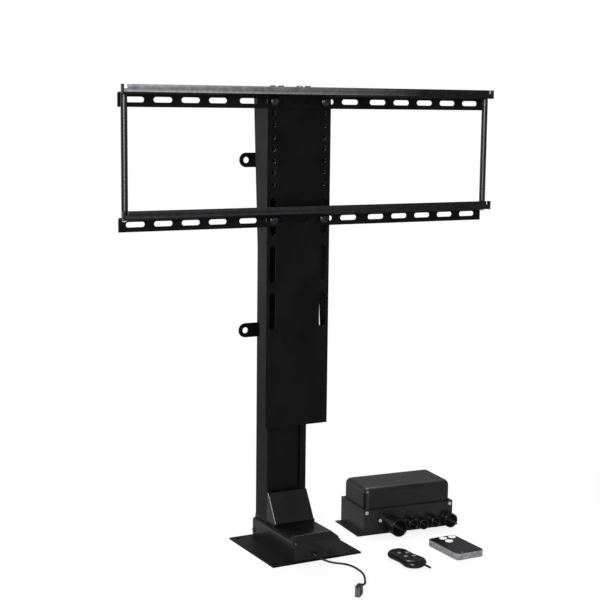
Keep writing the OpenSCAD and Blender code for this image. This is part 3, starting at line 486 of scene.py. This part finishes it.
def outward(box):
    """The way from the middle of the lift out through a box on one of its sides."""
    middle = middle_of(box)
    if middle.y < FRONT_FROM:
        return at(middle.x, box[0].y, middle.z) @ TO_FRONT
    if middle.x > 0:
        return at(box[1].x, middle.y, middle.z) @ TO_RIGHT
    return at(box[0].x, middle.y, middle.z) @ TO_LEFT


# Radius and height of the head, radius and length of the shank
COVER_HEAD = (4.5, 2.5, 2.5, 6)
cover_places = [outward(box) @ at(0, 0, -COVER_HEAD[1]) for box in solid_boxes("housing_screws")]
piece_of("housing_pan_screws", stamped(cross_head(*COVER_HEAD), *cover_places), black_oxide, "housing_screws")

CAP_HEX_R, CAP_SHANK_R, CAP_SHANK_L = 5.5, 2.9, 5
cap_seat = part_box("top_cap")[1][2] / MM
cap_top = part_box("cap_bolts")[1][2] / MM
cap_middles = [middle_of(box) for box in solid_boxes("cap_bolts")]
cap_places = [at(spot.x, spot.y, cap_seat) @ spun(0.3 * i) for i, spot in enumerate(cap_middles)]
cap_bolt = hex_head(CAP_HEX_R, cap_top - cap_seat, CAP_SHANK_R, CAP_SHANK_L)
piece_of("cap_hex_bolts", stamped(cap_bolt, *cap_places), oiled_steel, "cap_bolts")

# The flange's radius and thickness, then the head and the shank; the flange is black outside the head
RAIL_SHEET, RAIL_BOLT, BLACK_FROM = 3, (7.8, 1.4, 6, 4, 2.9, 7), 6.2
rail_face_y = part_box("upper_rail")[1][1] / MM - RAIL_SHEET
bolt_middles = [middle_of(box) for box in solid_boxes("rail_screws")]
rail_places = [at(spot.x, rail_face_y, spot.z) @ TO_FRONT @ spun(0.4 * i)
               for i, spot in enumerate(bolt_middles)]
rail_bolt = tinted(socket_head(*RAIL_BOLT), lambda face: face.calc_center_median().xy.length > BLACK_FROM)
rail_bolts = stamped(rail_bolt, *rail_places)
piece_of("rail_flange_bolts", rail_bolts, oiled_steel, "rail_screws", second=black_oxide)
print("screws and bolts:", len(cover_places), "in covers,", len(cap_places), "in the cap,",
      len(rail_places), "in rails")

# %% [markdown]
# ## Folded sheet and drawn rod
#
# The plate, column, mast, carriage, rails and covers are sheet steel, cut, punched and folded. Their
# exact solids have knife edges, and nothing real has those: a press rolls each cut edge over by a few
# tenths, and the paint draws back from it. Each visible solid is copied, its triangles are joined back
# into flat faces, and every sharp edge gets a small rounding, so that it catches a thread of light.

# %% Softened copies
def rolled(form, width, steps=2, sharp=40, only=None):
    """A form with its sharp edges rounded over, all of them or those that pass a test."""
    edges = [edge for edge in form.edges if edge.is_manifold and edge.calc_face_angle(0) > math.radians(sharp)
             and (only is None or only(edge))]
    return rounded(form, edges, width, steps, clamp=True)


def softened(node, material, width, second=None, test=None):
    """A copy of a node's solid with its sharp edges rounded by a width in millimetres.

    Faces that pass a test take the second material.
    """
    form = bmesh.new()
    form.from_mesh(frame["nodes"][node].data)
    bmesh.ops.scale(form, vec=(1 / MM, 1 / MM, 1 / MM), verts=form.verts)
    bmesh.ops.remove_doubles(form, verts=form.verts, dist=0.002)
    bmesh.ops.dissolve_limit(form, angle_limit=math.radians(0.5), verts=form.verts, edges=form.edges)
    rolled(form, width)
    if second:
        tinted(form, test)
    return piece_of(node + "_dressed", form, material, node, second=second)


HOLE_X, HOLE_TOP, HOLE_PITCH, HOLE_ROWS, HOLE_R = 50, 804, 20.5, 7, 3.5
LIP_FRONT, LIP_LOW, LIP_H, RAIL_PITCH = -31.5, 816.5, 20, 205


def in_hole(face):
    """True for the wall of a round hole in the carriage."""
    spot = face.calc_center_median()
    row = round((HOLE_TOP - spot.z) / HOLE_PITCH)
    reach = math.hypot(abs(spot.x) - HOLE_X, spot.z - HOLE_TOP + row * HOLE_PITCH)
    return 1 <= row <= HOLE_ROWS and reach < HOLE_R + 0.5


def on_lip(face):
    """True for the front of a rail's lip, where the painted sheen goes."""
    spot = face.calc_center_median()
    return spot.y < LIP_FRONT and (spot.z - LIP_LOW) % RAIL_PITCH < LIP_H


# The finish of each solid, and the rounding of its edges
SHEET_EDGE = {
    "base_plate": (powder_coat, 0.6), "fixed_column": (powder_coat, 0.8),
    "upper_wall_strap": (powder_coat, 0.6), "lower_wall_strap": (powder_coat, 0.6),
    "inner_mast": (powder_coat, 0.6), "top_cap": (powder_coat, 0.7), "motor_housing": (satin_paint, 0.9),
    "left_tie_rod": (gloss_enamel, 0.8), "right_tie_rod": (gloss_enamel, 0.8),
    "control_tray": (hammered_paint, 0.6), "rail_end_caps": (smooth_plastic, 0.5),
    "rail_nuts": (zinc, 0.5), "rod_screws": (zinc, 0.5),
    "carriage_spine": (powder_coat, 0.4), "mast_front_plate": (powder_coat, 0.4),
}
# The rounding of each solid's edges, its second finish, and the faces that take it
# The carriage's holes show bare zinc; the rails' lips take a painted sheen that stands in for caught light
HOLE_ZINC_AND_LIP_SHEEN = {
    "carriage_frame": (0.8, rolled_zinc, in_hole), "upper_rail": (0.5, lip_sheen_coat, on_lip),
    "lower_rail": (0.5, lower_lip_sheen_coat, on_lip),
}
for node, (material, width) in SHEET_EDGE.items():
    softened(node, material, width)
for node, (width, second, test) in HOLE_ZINC_AND_LIP_SHEEN.items():
    softened(node, powder_coat, width, second=second, test=test)
print("softened:", len(SHEET_EDGE) + len(HOLE_ZINC_AND_LIP_SHEEN), "solids")

# %% [markdown]
# ## Pressed covers
#
# The housing's lid and the shroud at the column's foot are pressed deeper than they are folded, so their
# edges are rounder than a cut edge. Rounding the thin shell itself would stop at its wall. The outside is
# made first as a closed form, its edges are rolled, and the hollow is carved out of it after that.

# %% Pressed covers
HOUSE_X, HOUSE_FRONT, HOUSE_REAR, HOUSE_R, HOUSE_TOP = 46.5, -87, 87, 12, 33
LID_TOP, LID_LIP, LID_BEVEL, LID_FRONT_R, LID_ROLL, COVER_WALL = 46, 3, 12, 8, 2.6, 2
SHROUD_X, SHROUD_BACK, SHROUD_FOOT, SHROUD_BROW, SHROUD_TOP, SHROUD_DIP = 40, 33, -2, 29, 97, 3.5
SHROUD_ROLL, ROLL_STEPS, ROLL_SHARP, COLUMN_GAP = 2.0, 4, 20, 0.4


def hull_of(points):
    """The closed convex form round some points."""
    form = bmesh.new()
    bmesh.ops.convex_hull(form, input=[form.verts.new(point) for point in points])
    bmesh.ops.dissolve_limit(form, angle_limit=math.radians(1), verts=form.verts, edges=form.edges)
    return form


def house_ring(inset, height):
    """The lid's outline at a height, drawn in by an inset and round at its corners."""
    turns = [math.pi / 2 * i / 8 for i in range(9)]
    ring = []
    for way, end, full in ((-1, HOUSE_FRONT + inset, LID_FRONT_R), (1, HOUSE_REAR - inset, HOUSE_R)):
        r = max(full - inset, 1)
        x, y = HOUSE_X - inset - r, end - way * r
        for side in (-1, 1):
            ring += [(side * (x + r * math.cos(t)), y + way * r * math.sin(t), height) for t in turns]
    return ring


def shroud_side(x, wall):
    """The shroud's side outline at one X, drawn in by a wall but open at the back and below."""
    out = 0.1 if wall else 0
    back, foot, brow = SHROUD_BACK + out, SHROUD_FOOT + wall, SHROUD_BROW + wall
    low, top = LID_TOP - SHROUD_DIP - out, SHROUD_TOP - wall
    return [(x, y, z) for y, z in ((back, low), (foot, low), (foot, LID_TOP), (brow, top), (back, top))]


def on_left_edge(face):
    """True for the rolled edge at the left of the shroud's front, which takes a painted highlight."""
    return face.calc_center_median().x < 1 - SHROUD_X and -0.95 < face.normal.x < -0.3


def above_rim(edge):
    """True for an edge of the lid that isn't on its lower rim."""
    return max(v.co.z for v in edge.verts) > HOUSE_TOP + 1


def above_lid(edge):
    """True for an edge of the shroud that is in front of the column and above the lid."""
    return min(v.co.y for v in edge.verts) < SHROUD_BACK - 1 and max(v.co.z for v in edge.verts) > LID_TOP + 1


lid_outside = hull_of(house_ring(0, HOUSE_TOP) + house_ring(0, HOUSE_TOP + LID_LIP)
                      + house_ring(LID_BEVEL, LID_TOP))
lid_outside = rolled(lid_outside, LID_ROLL, ROLL_STEPS, ROLL_SHARP, above_rim)
lid_inside = hull_of(house_ring(COVER_WALL, HOUSE_TOP - 1) + house_ring(COVER_WALL, HOUSE_TOP + 1)
                     + house_ring(LID_BEVEL + COVER_WALL, LID_TOP - COVER_WALL))
column_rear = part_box("fixed_column")[1][1] / MM
column_room = block((-SHROUD_X - COLUMN_GAP, SHROUD_FOOT - COLUMN_GAP, HOUSE_TOP - 1),
                    (SHROUD_X + COLUMN_GAP, column_rear + COLUMN_GAP, LID_TOP + 1))
lid = carved(carved(lid_outside, lid_inside), column_room)
piece_of("housing_pressed_lid", lid, satin_paint, "housing_lid")

shroud_outside = hull_of(shroud_side(-SHROUD_X, 0) + shroud_side(SHROUD_X, 0))
shroud_outside = rolled(shroud_outside, SHROUD_ROLL, ROLL_STEPS, ROLL_SHARP, above_lid)
shroud_inside = hull_of(shroud_side(COVER_WALL - SHROUD_X, COVER_WALL)
                        + shroud_side(SHROUD_X - COVER_WALL, COVER_WALL))
# The rolled left edge takes a light grey, a painted highlight
shroud = tinted(carved(shroud_outside, shroud_inside), on_left_edge)
piece_of("column_pressed_shroud", shroud, satin_paint, "column_shroud", second=edge_highlight_paint)
print("pressed covers made")

# %% [markdown]
# ## Control unit
#
# A folded steel tray holds the electronics. A moulded lid with rounded edges sits on its rim, and a row
# of round sockets along the front takes the leads. The lid is a block without a floor, rounded at its
# edges and given a wall; each socket is turned, with its pins set in the floor.

# %% Control unit
UNIT_AT = at(144, -6, 0) @ spun(math.radians(-5))
UNIT_W, UNIT_D, UNIT_H, TRAY_H = 188.5, 101, 89, 48
LID_STEP, LID_R, LID_WALL, FLANGE_T, FLANGE_LAP = 3.5, 11, 2, 1.5, 0.5
UNIT_HEAD = (3.6, 1.8, 2, 6)
UNIT_SCREWS = [(6, 43.5), (182.5, 43.5), (34, 26)]
# The place along the front, the height, the radius and the reach of each socket
SOCKETS = [
    (60.2, 16.8, 16.5, 30), (96.3, 16, 10, 18), (119.1, 14.2, 10, 18), (144.3, 15.8, 10, 18),
    (178.5, 14.2, 13.8, 15),
]


def lid_form(step, low, high, radius):
    """A block set in by a step, with every edge above its floor rounded."""
    floor = low + 0.01
    return block((step, step, low), (UNIT_W - step, UNIT_D - step, high), radius, 6,
                 lambda edge: max(v.co.z for v in edge.verts) > floor)


lid_shell = carved(lid_form(LID_STEP, TRAY_H, UNIT_H, LID_R),
                   lid_form(LID_STEP + LID_WALL, TRAY_H - 1, UNIT_H - LID_WALL, LID_R - LID_WALL))
lap = LID_STEP + FLANGE_LAP
flange = carved(block((0, 0, TRAY_H), (UNIT_W, UNIT_D, TRAY_H + FLANGE_T), 0.4, 2),
                block((lap, lap, TRAY_H - 1), (UNIT_W - lap, UNIT_D - lap, TRAY_H + 3)))
lid_whole = stamped(gathered(lid_shell, flange), UNIT_AT)
piece_of("control_lid_moulding", lid_whole, grained_plastic, "control_lid")


def on_front(x, z):
    """A place on the unit's front, facing out."""
    return UNIT_AT @ at(x, 0, z) @ TO_FRONT


unit_places = [on_front(x, z) @ spun(0.5 * i) for i, (x, z) in enumerate(UNIT_SCREWS)]
piece_of("control_pan_screws", stamped(cross_head(*UNIT_HEAD), *unit_places), zinc, "control_screws")


def socket_form(radius, reach, pins):
    """A round panel socket with a grooved shell, an open mouth and a ring of pins."""
    bore, neck, floor = radius - 2.5, radius * 0.55 - 0.2, 3
    outline = [(0, -5), (neck, -5), (neck, 0), (radius, 0), (radius, reach * 0.2)]
    for groove in range(3):
        low = reach * (0.26 + 0.2 * groove)
        outline += [(radius - 0.6, low), (radius - 0.6, low + reach * 0.06), (radius, low + reach * 0.12)]
    outline += [(radius, reach - 0.6), (radius - 0.6, reach), (bore + 0.4, reach), (bore, reach - 0.4)]
    outline += [(bore, floor), (0, floor)]
    pin = turned([(0, 0), (0.9, 0), (0.9, reach * 0.55), (0.5, reach * 0.62), (0, reach * 0.62)], 12)
    turns = [math.tau * i / pins for i in range(pins)]
    ring = [at(bore * 0.5 * math.cos(t), bore * 0.5 * math.sin(t), floor - 0.1) for t in turns]
    return gathered(turned(outline, 40), stamped(pin, *ring))


sockets = [stamped(socket_form(r, reach, 5 if r > 10 else 3), on_front(x, z)) for x, z, r, reach in SOCKETS]
piece_of("control_panel_sockets", gathered(*sockets), smooth_plastic, "control_sockets")
print("control unit:", len(SOCKETS), "sockets and", len(UNIT_SCREWS), "screws")

# %% [markdown]
# ## Key fob and handset
#
# Both transmitters are moulded in two halves that meet at mid height. The fob is pebble-shaped, wider at
# the aerial's end and drawn in at a waist. The handset is a flat bar with rounded corners. A pebble is a
# sphere pulled apart at its middle and pressed flat; a bar is a block with its upright edges rounded first
# and its rims after.

# %% Key fob
FOB_AT = at(137, -164, 0) @ spun(math.radians(-88))
FOB_R, FOB_FLARE, FOB_STRETCH, FOB_H, FOB_SPLIT, FOB_SKIN = 21, 1.1, 22, 14, 7, 1.8
FOB_FLATNESS, FOB_WAIST, FOB_KEY_R = 0.44, 0.84, 4
FOB_SPOTS = {
    "fob_button_left": (-12, -7), "fob_button_back": (-7, 7), "fob_button_right": (8, -6.5),
    "fob_button_front": (13, 7.5),
}
AERIAL_Y, AERIAL_R, AERIAL_FIT, AERIAL_DRILL = 8, 1.9, 0.1, 80
SPLIT_GAP, KEY_GAP, KEY_UNDER, KEY_PROUD, KEY_FLANGE = 0.15, 0.2, 0.2, 0.8, 1.4


def pebble(skin, low, high):
    """The fob's form between two heights, drawn in by a skin."""
    form = bmesh.new()
    bmesh.ops.create_uvsphere(form, u_segments=64, v_segments=32, radius=1, matrix=TO_RIGHT)
    for side, radius in ((-1, FOB_R - skin), (1, FOB_R * FOB_FLARE - skin)):
        half = [v for v in form.verts if v.co.x * side > 1e-4]
        bmesh.ops.scale(form, vec=(radius, radius, radius * FOB_FLATNESS), verts=half)
        bmesh.ops.translate(form, vec=(side * FOB_STRETCH, 0, 0), verts=half)
    waist = [v for v in form.verts if abs(v.co.x) <= 1e-4]
    middle = FOB_R * (1 + FOB_FLARE) / 2 - skin
    bmesh.ops.scale(form, vec=(1, middle * FOB_WAIST, middle * FOB_FLATNESS), verts=waist)
    bmesh.ops.translate(form, vec=(0, 0, FOB_SPLIT), verts=form.verts)
    for height, way in ((low, -1), (high, 1)):
        geometry = form.verts[:] + form.edges[:] + form.faces[:]
        cut = bmesh.ops.bisect_plane(form, geom=geometry, plane_co=(0, 0, height), plane_no=(0, 0, way),
                                     clear_outer=True)
        bmesh.ops.holes_fill(form, edges=[e for e in cut["geom_cut"] if isinstance(e, bmesh.types.BMEdge)])
    return form


def drilled(form, spots, radius, low, high):
    """A form with a round hole at each spot."""
    return carved(form, stamped(pin_of(radius, low, high, 40), *[at(x, y, 0) for x, y in spots]))


aerial_drill = pin_of(AERIAL_R + AERIAL_FIT, 0, AERIAL_DRILL, 24)
aerial_hole = stamped(aerial_drill, at(0, AERIAL_Y, FOB_SPLIT) @ TO_RIGHT)
aerial_copy = aerial_hole.copy()
fob_low = carved(pebble(0, 0, FOB_SPLIT - SPLIT_GAP), pebble(FOB_SKIN, FOB_SKIN, FOB_SPLIT + 1))
fob_high = carved(pebble(0, FOB_SPLIT + SPLIT_GAP, FOB_H), pebble(FOB_SKIN, FOB_SPLIT - 1, FOB_H - FOB_SKIN))
fob_high = drilled(fob_high, FOB_SPOTS.values(), FOB_KEY_R + KEY_GAP, FOB_SPLIT, FOB_H + 1)
piece_of("fob_lower_shell", stamped(carved(fob_low, aerial_hole), FOB_AT), smooth_plastic, "fob_base")
piece_of("fob_upper_shell", stamped(carved(fob_high, aerial_copy), FOB_AT), smooth_plastic, "fob_top")


def add_keys(spots, radius, shell_top, skin, place, material):
    """Push keys with a soft dished crown and a flange that stops under the shell."""
    under, top = shell_top - skin - KEY_UNDER, shell_top + KEY_PROUD
    crown = [(0, top - 0.25), (radius * 0.5, top - 0.12), (radius - 0.9, top), (radius - 0.3, top - 0.2)]
    wall = [(radius, top - 0.7), (radius, under), (radius + 1, under)]
    foot = [(radius + 1, under - KEY_FLANGE), (0, under - KEY_FLANGE)]
    for node, (x, y) in spots.items():
        form = stamped(turned(crown + wall + foot, 40), place @ at(x, y, 0))
        piece_of(node + "_key", form, material, node)


add_keys(FOB_SPOTS, FOB_KEY_R, FOB_H, FOB_SKIN, FOB_AT, smoke_plastic)
print("fob:", len(FOB_SPOTS), "keys")

# %% Handset
HAND_AT = at(250, -153, 0)
HAND_W, HAND_L, HAND_H, HAND_SPLIT, HAND_R, HAND_SKIN = 58, 96, 13, 6.5, 7, 1.8
HAND_LAMP, HAND_KEY_R = (-16, -44), 7.25
HAND_SPOTS = {"hand_button_left": (-2, 37), "hand_button_right": (17.5, 37), "hand_button_front": (-1, 19)}


def bar_form(inset, low, high, rim, rim_at):
    """A bar with rounded corners, and a rounded rim at one height."""
    x, y = HAND_W / 2 - inset, HAND_L / 2 - inset
    form = block((-x, -y, low), (x, y, high), HAND_R - inset, 6,
                 lambda edge: abs(edge.verts[0].co.z - edge.verts[1].co.z) > 0.1)
    edges = [edge for edge in form.edges if all(abs(v.co.z - rim_at) < 0.01 for v in edge.verts)]
    return rounded(form, edges, rim, 3) if rim else form


hand_low = carved(bar_form(0, 0, HAND_SPLIT - SPLIT_GAP, 1.2, 0),
                  bar_form(HAND_SKIN, HAND_SKIN, HAND_SPLIT + 1, 0, 0))
hand_high = carved(bar_form(0, HAND_SPLIT + SPLIT_GAP, HAND_H, 1.8, HAND_H),
                   bar_form(HAND_SKIN, HAND_SPLIT - 1, HAND_H - HAND_SKIN, 0, 0))
hand_high = drilled(hand_high, HAND_SPOTS.values(), HAND_KEY_R + KEY_GAP, HAND_SPLIT, HAND_H + 1)
piece_of("hand_lower_shell", stamped(hand_low, HAND_AT), grey_plastic, "hand_base")
lamp = stamped(turned([(0, 0.7), (0.8, 0.55), (1.5, 0), (1.5, -0.5), (0, -0.5)], 20), at(*HAND_LAMP, HAND_H))
hand_high = gathered(tinted(hand_high, lambda face: abs(face.normal.z) < 0.5), tinted(lamp))
piece_of("hand_upper_shell", stamped(hand_high, HAND_AT), smooth_plastic, "hand_top", second=grey_plastic)
add_keys(HAND_SPOTS, HAND_KEY_R, HAND_H, HAND_SKIN, HAND_AT, key_plastic)
print("handset:", len(HAND_SPOTS), "keys")

# %% [markdown]
# ## Lift screw
#
# The screw in the column has a coarse rolled thread. A thread is a tooth outline carried round the axis
# while it climbs, which is a spin with a rise in every step. Such screws have several threads side by
# side, so that they climb fast; the eye can't tell, and one thread with the same tooth pitch stands here.

# %% Lift screw
screw_low, screw_high = (Vector(corner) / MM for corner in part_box("lead_screw"))
SCREW_R, SCREW_ROOT, THREAD_PITCH, TURN_STEPS, PLAIN_END = 6, 4.9, 3, 24, 30
screw_middle = middle_of((screw_low, screw_high))
screw_l = screw_high.z - screw_low.z
turns = int((screw_l - PLAIN_END) / THREAD_PITCH) - 1
thread = bmesh.new()
tooth = [(SCREW_ROOT, 0), (SCREW_ROOT, 0.8), (SCREW_R, 1.4), (SCREW_R, 2.4), (SCREW_ROOT, 3)]
tooth_verts = [thread.verts.new((r, 0, h)) for r, h in tooth]
tooth_edges = [thread.edges.new(pair) for pair in zip(tooth_verts, tooth_verts[1:])]
bmesh.ops.spin(thread, geom=tooth_verts + tooth_edges, axis=(0, 0, 1), cent=(0, 0, 0),
               dvec=(0, 0, THREAD_PITCH / TURN_STEPS), angle=math.tau * turns, steps=TURN_STEPS * turns)
bmesh.ops.remove_doubles(thread, verts=thread.verts, dist=0.01)
core = pin_of(SCREW_ROOT, 0, screw_l, TURN_STEPS)
screw_form = gathered(stamped(thread, at(0, 0, PLAIN_END)), core)
screw_form = stamped(screw_form, at(screw_middle.x, screw_middle.y, screw_low.z))
piece_of("rolled_lift_screw", screw_form, zinc, "lead_screw", crease=50)
print("lift screw:", turns, "turns")

# %% [markdown]
# ## Hidden workings
#
# The motor, gears, belts, guides, boards and transformer are inside. Their exact solids are already the
# right shape, so they only take a finish.

# %% Finishes of the hidden solids
FINISH_OF_SLOT = {
    "black_powder_coat": powder_coat, "satin_black_paint": satin_paint, "zinc_plate": rolled_zinc,
    "black_acetal": acetal, "bronze": bronze, "black_plastic": smooth_plastic,
    "pale_button_plastic": key_plastic, "circuit_board": solder_mask, "transformer_iron": laminations,
    "black_rubber": rubber,
}
plain = [node for node in frame["nodes"] if not frame["nodes"][node].hide_render]
for node in plain:
    mesh = frame["nodes"][node].data
    mesh.materials.clear()
    mesh.materials.append(FINISH_OF_SLOT[slot_of[node]])
print("finished as solids:", len(plain))

# %% [markdown]
# ## Stage and light
#
# The lift stands on a white sweep with no horizon. A big soft light from the front left draws the
# threads of light along the left edges. A narrow strip beside the camera puts a line down the rods and
# the folds, a large one above and behind separates the rails from each other, and a very weak one
# behind at the left grazes the left flanks. The surroundings are white to the camera, but black paint
# would turn grey if it mirrored them all, so glossy rays see them dimmed. The floor keeps a faint shadow.

# %% Floor
FLOOR_REACH, FLOOR_DROP, FLOOR_GLOW = 8, 0.0005, 0.8
FLOOR_TONE, FLOOR_MIRRORED = 0.9, 0.3
WHITE = linear("#ffffff")


def ray_kinds(tree):
    """Two outputs: rays that see the stage directly or through glass, and glossy rays."""
    rays = add(tree, "ShaderNodeLightPath").outputs
    seen = add(tree, "ShaderNodeMath", {0: rays["Is Camera Ray"], 1: rays["Is Transmission Ray"]},
               operation="ADD", use_clamp=True)
    return seen.outputs[0], rays["Is Glossy Ray"]


floor_form = bmesh.new()
bmesh.ops.create_grid(floor_form, x_segments=1, y_segments=1, size=FLOOR_REACH)
floor_mesh = bpy.data.meshes.new("floor")
floor_form.to_mesh(floor_mesh)
floor_form.free()
floor = bpy.data.objects.new("floor", floor_mesh)
floor.location.z = -FLOOR_DROP
scene.collection.objects.link(floor)

paper = bpy.data.materials.new("white_paper_sweep")
paper.use_nodes = True
tree = paper.node_tree
tree.nodes.clear()
seen, glossy = ray_kinds(tree)
place = add(tree, "ShaderNodeTexCoord").outputs["Object"]
reach = add(tree, "ShaderNodeVectorMath", {0: place}, operation="LENGTH")
fade = add(tree, "ShaderNodeMapRange", {"Value": reach.outputs["Value"]},
           {"From Min": 0.3, "From Max": 0.9, "To Min": FLOOR_GLOW, "To Max": 1.0})
share = add(tree, "ShaderNodeMath", {0: seen, 1: fade.outputs["Result"]}, operation="MULTIPLY")
tone = add(tree, "ShaderNodeMapRange", {"Value": glossy}, {"To Min": FLOOR_TONE, "To Max": FLOOR_MIRRORED})
matt = add(tree, "ShaderNodeBsdfDiffuse", {"Color": tone.outputs["Result"]})
glow = add(tree, "ShaderNodeEmission", values={"Color": WHITE, "Strength": 1.0})
both = add(tree, "ShaderNodeMixShader", {0: share.outputs[0], 1: matt.outputs[0], 2: glow.outputs[0]})
add(tree, "ShaderNodeOutputMaterial", {"Surface": both.outputs[0]})
floor_mesh.materials.append(paper)
print("floor:", 2 * FLOOR_REACH, "m wide")

# %% Surroundings
AMBIENT, MIRRORED = 0.5, 0.2
world = bpy.data.worlds.new("white_room")
world.use_nodes = True
scene.world = world
tree = world.node_tree
tree.nodes.clear()
seen, glossy = ray_kinds(tree)
dim = add(tree, "ShaderNodeMapRange", {"Value": glossy}, {"To Min": AMBIENT, "To Max": MIRRORED})
bright = add(tree, "ShaderNodeMath", {0: seen, 1: dim.outputs["Result"]}, operation="MAXIMUM")
sky = add(tree, "ShaderNodeBackground", {"Strength": bright.outputs[0]}, {"Color": WHITE})
add(tree, "ShaderNodeOutputWorld", {"Surface": sky.outputs[0]})
print("surroundings: white to the camera,", MIRRORED, "to glossy rays")

# %% Lights
def soft_light(name, place, target, width, height, power):
    """A rectangular light in metres and watts, aimed at a target and hidden from the camera."""
    data = bpy.data.lights.new(name, "AREA")
    data.shape = "RECTANGLE"
    data.size = width
    data.size_y = height
    data.energy = power
    light = bpy.data.objects.new(name, data)
    aim = (Vector(target) - Vector(place)).to_track_quat("-Z", "Y")
    light.matrix_world = Matrix.Translation(place) @ aim.to_matrix().to_4x4()
    scene.collection.objects.link(light)
    light.visible_camera = False


soft_light("key_front_left", (-1.9, -2.2, 1.7), (0, 0, 0.4), 1.0, 1.0, 60)
soft_light("strip_by_camera", (-1.3, -2.3, 0.85), (0, 0, 0.6), 0.4, 1.0, 24)
soft_light("side_back_left", (-1.1, 1.6, 0.5), (0.1, 0, 0.2), 1.4, 0.9, 2.5)
soft_light("top_back", (0.4, 1.2, 2.4), (0, 0, 0.5), 1.6, 0.8, 40)

scene.view_settings.view_transform = "Standard"
scene.render.engine = "CYCLES"
scene.cycles.samples = 128
scene.render.resolution_x = 600
scene.render.resolution_y = 600
print("stage set")
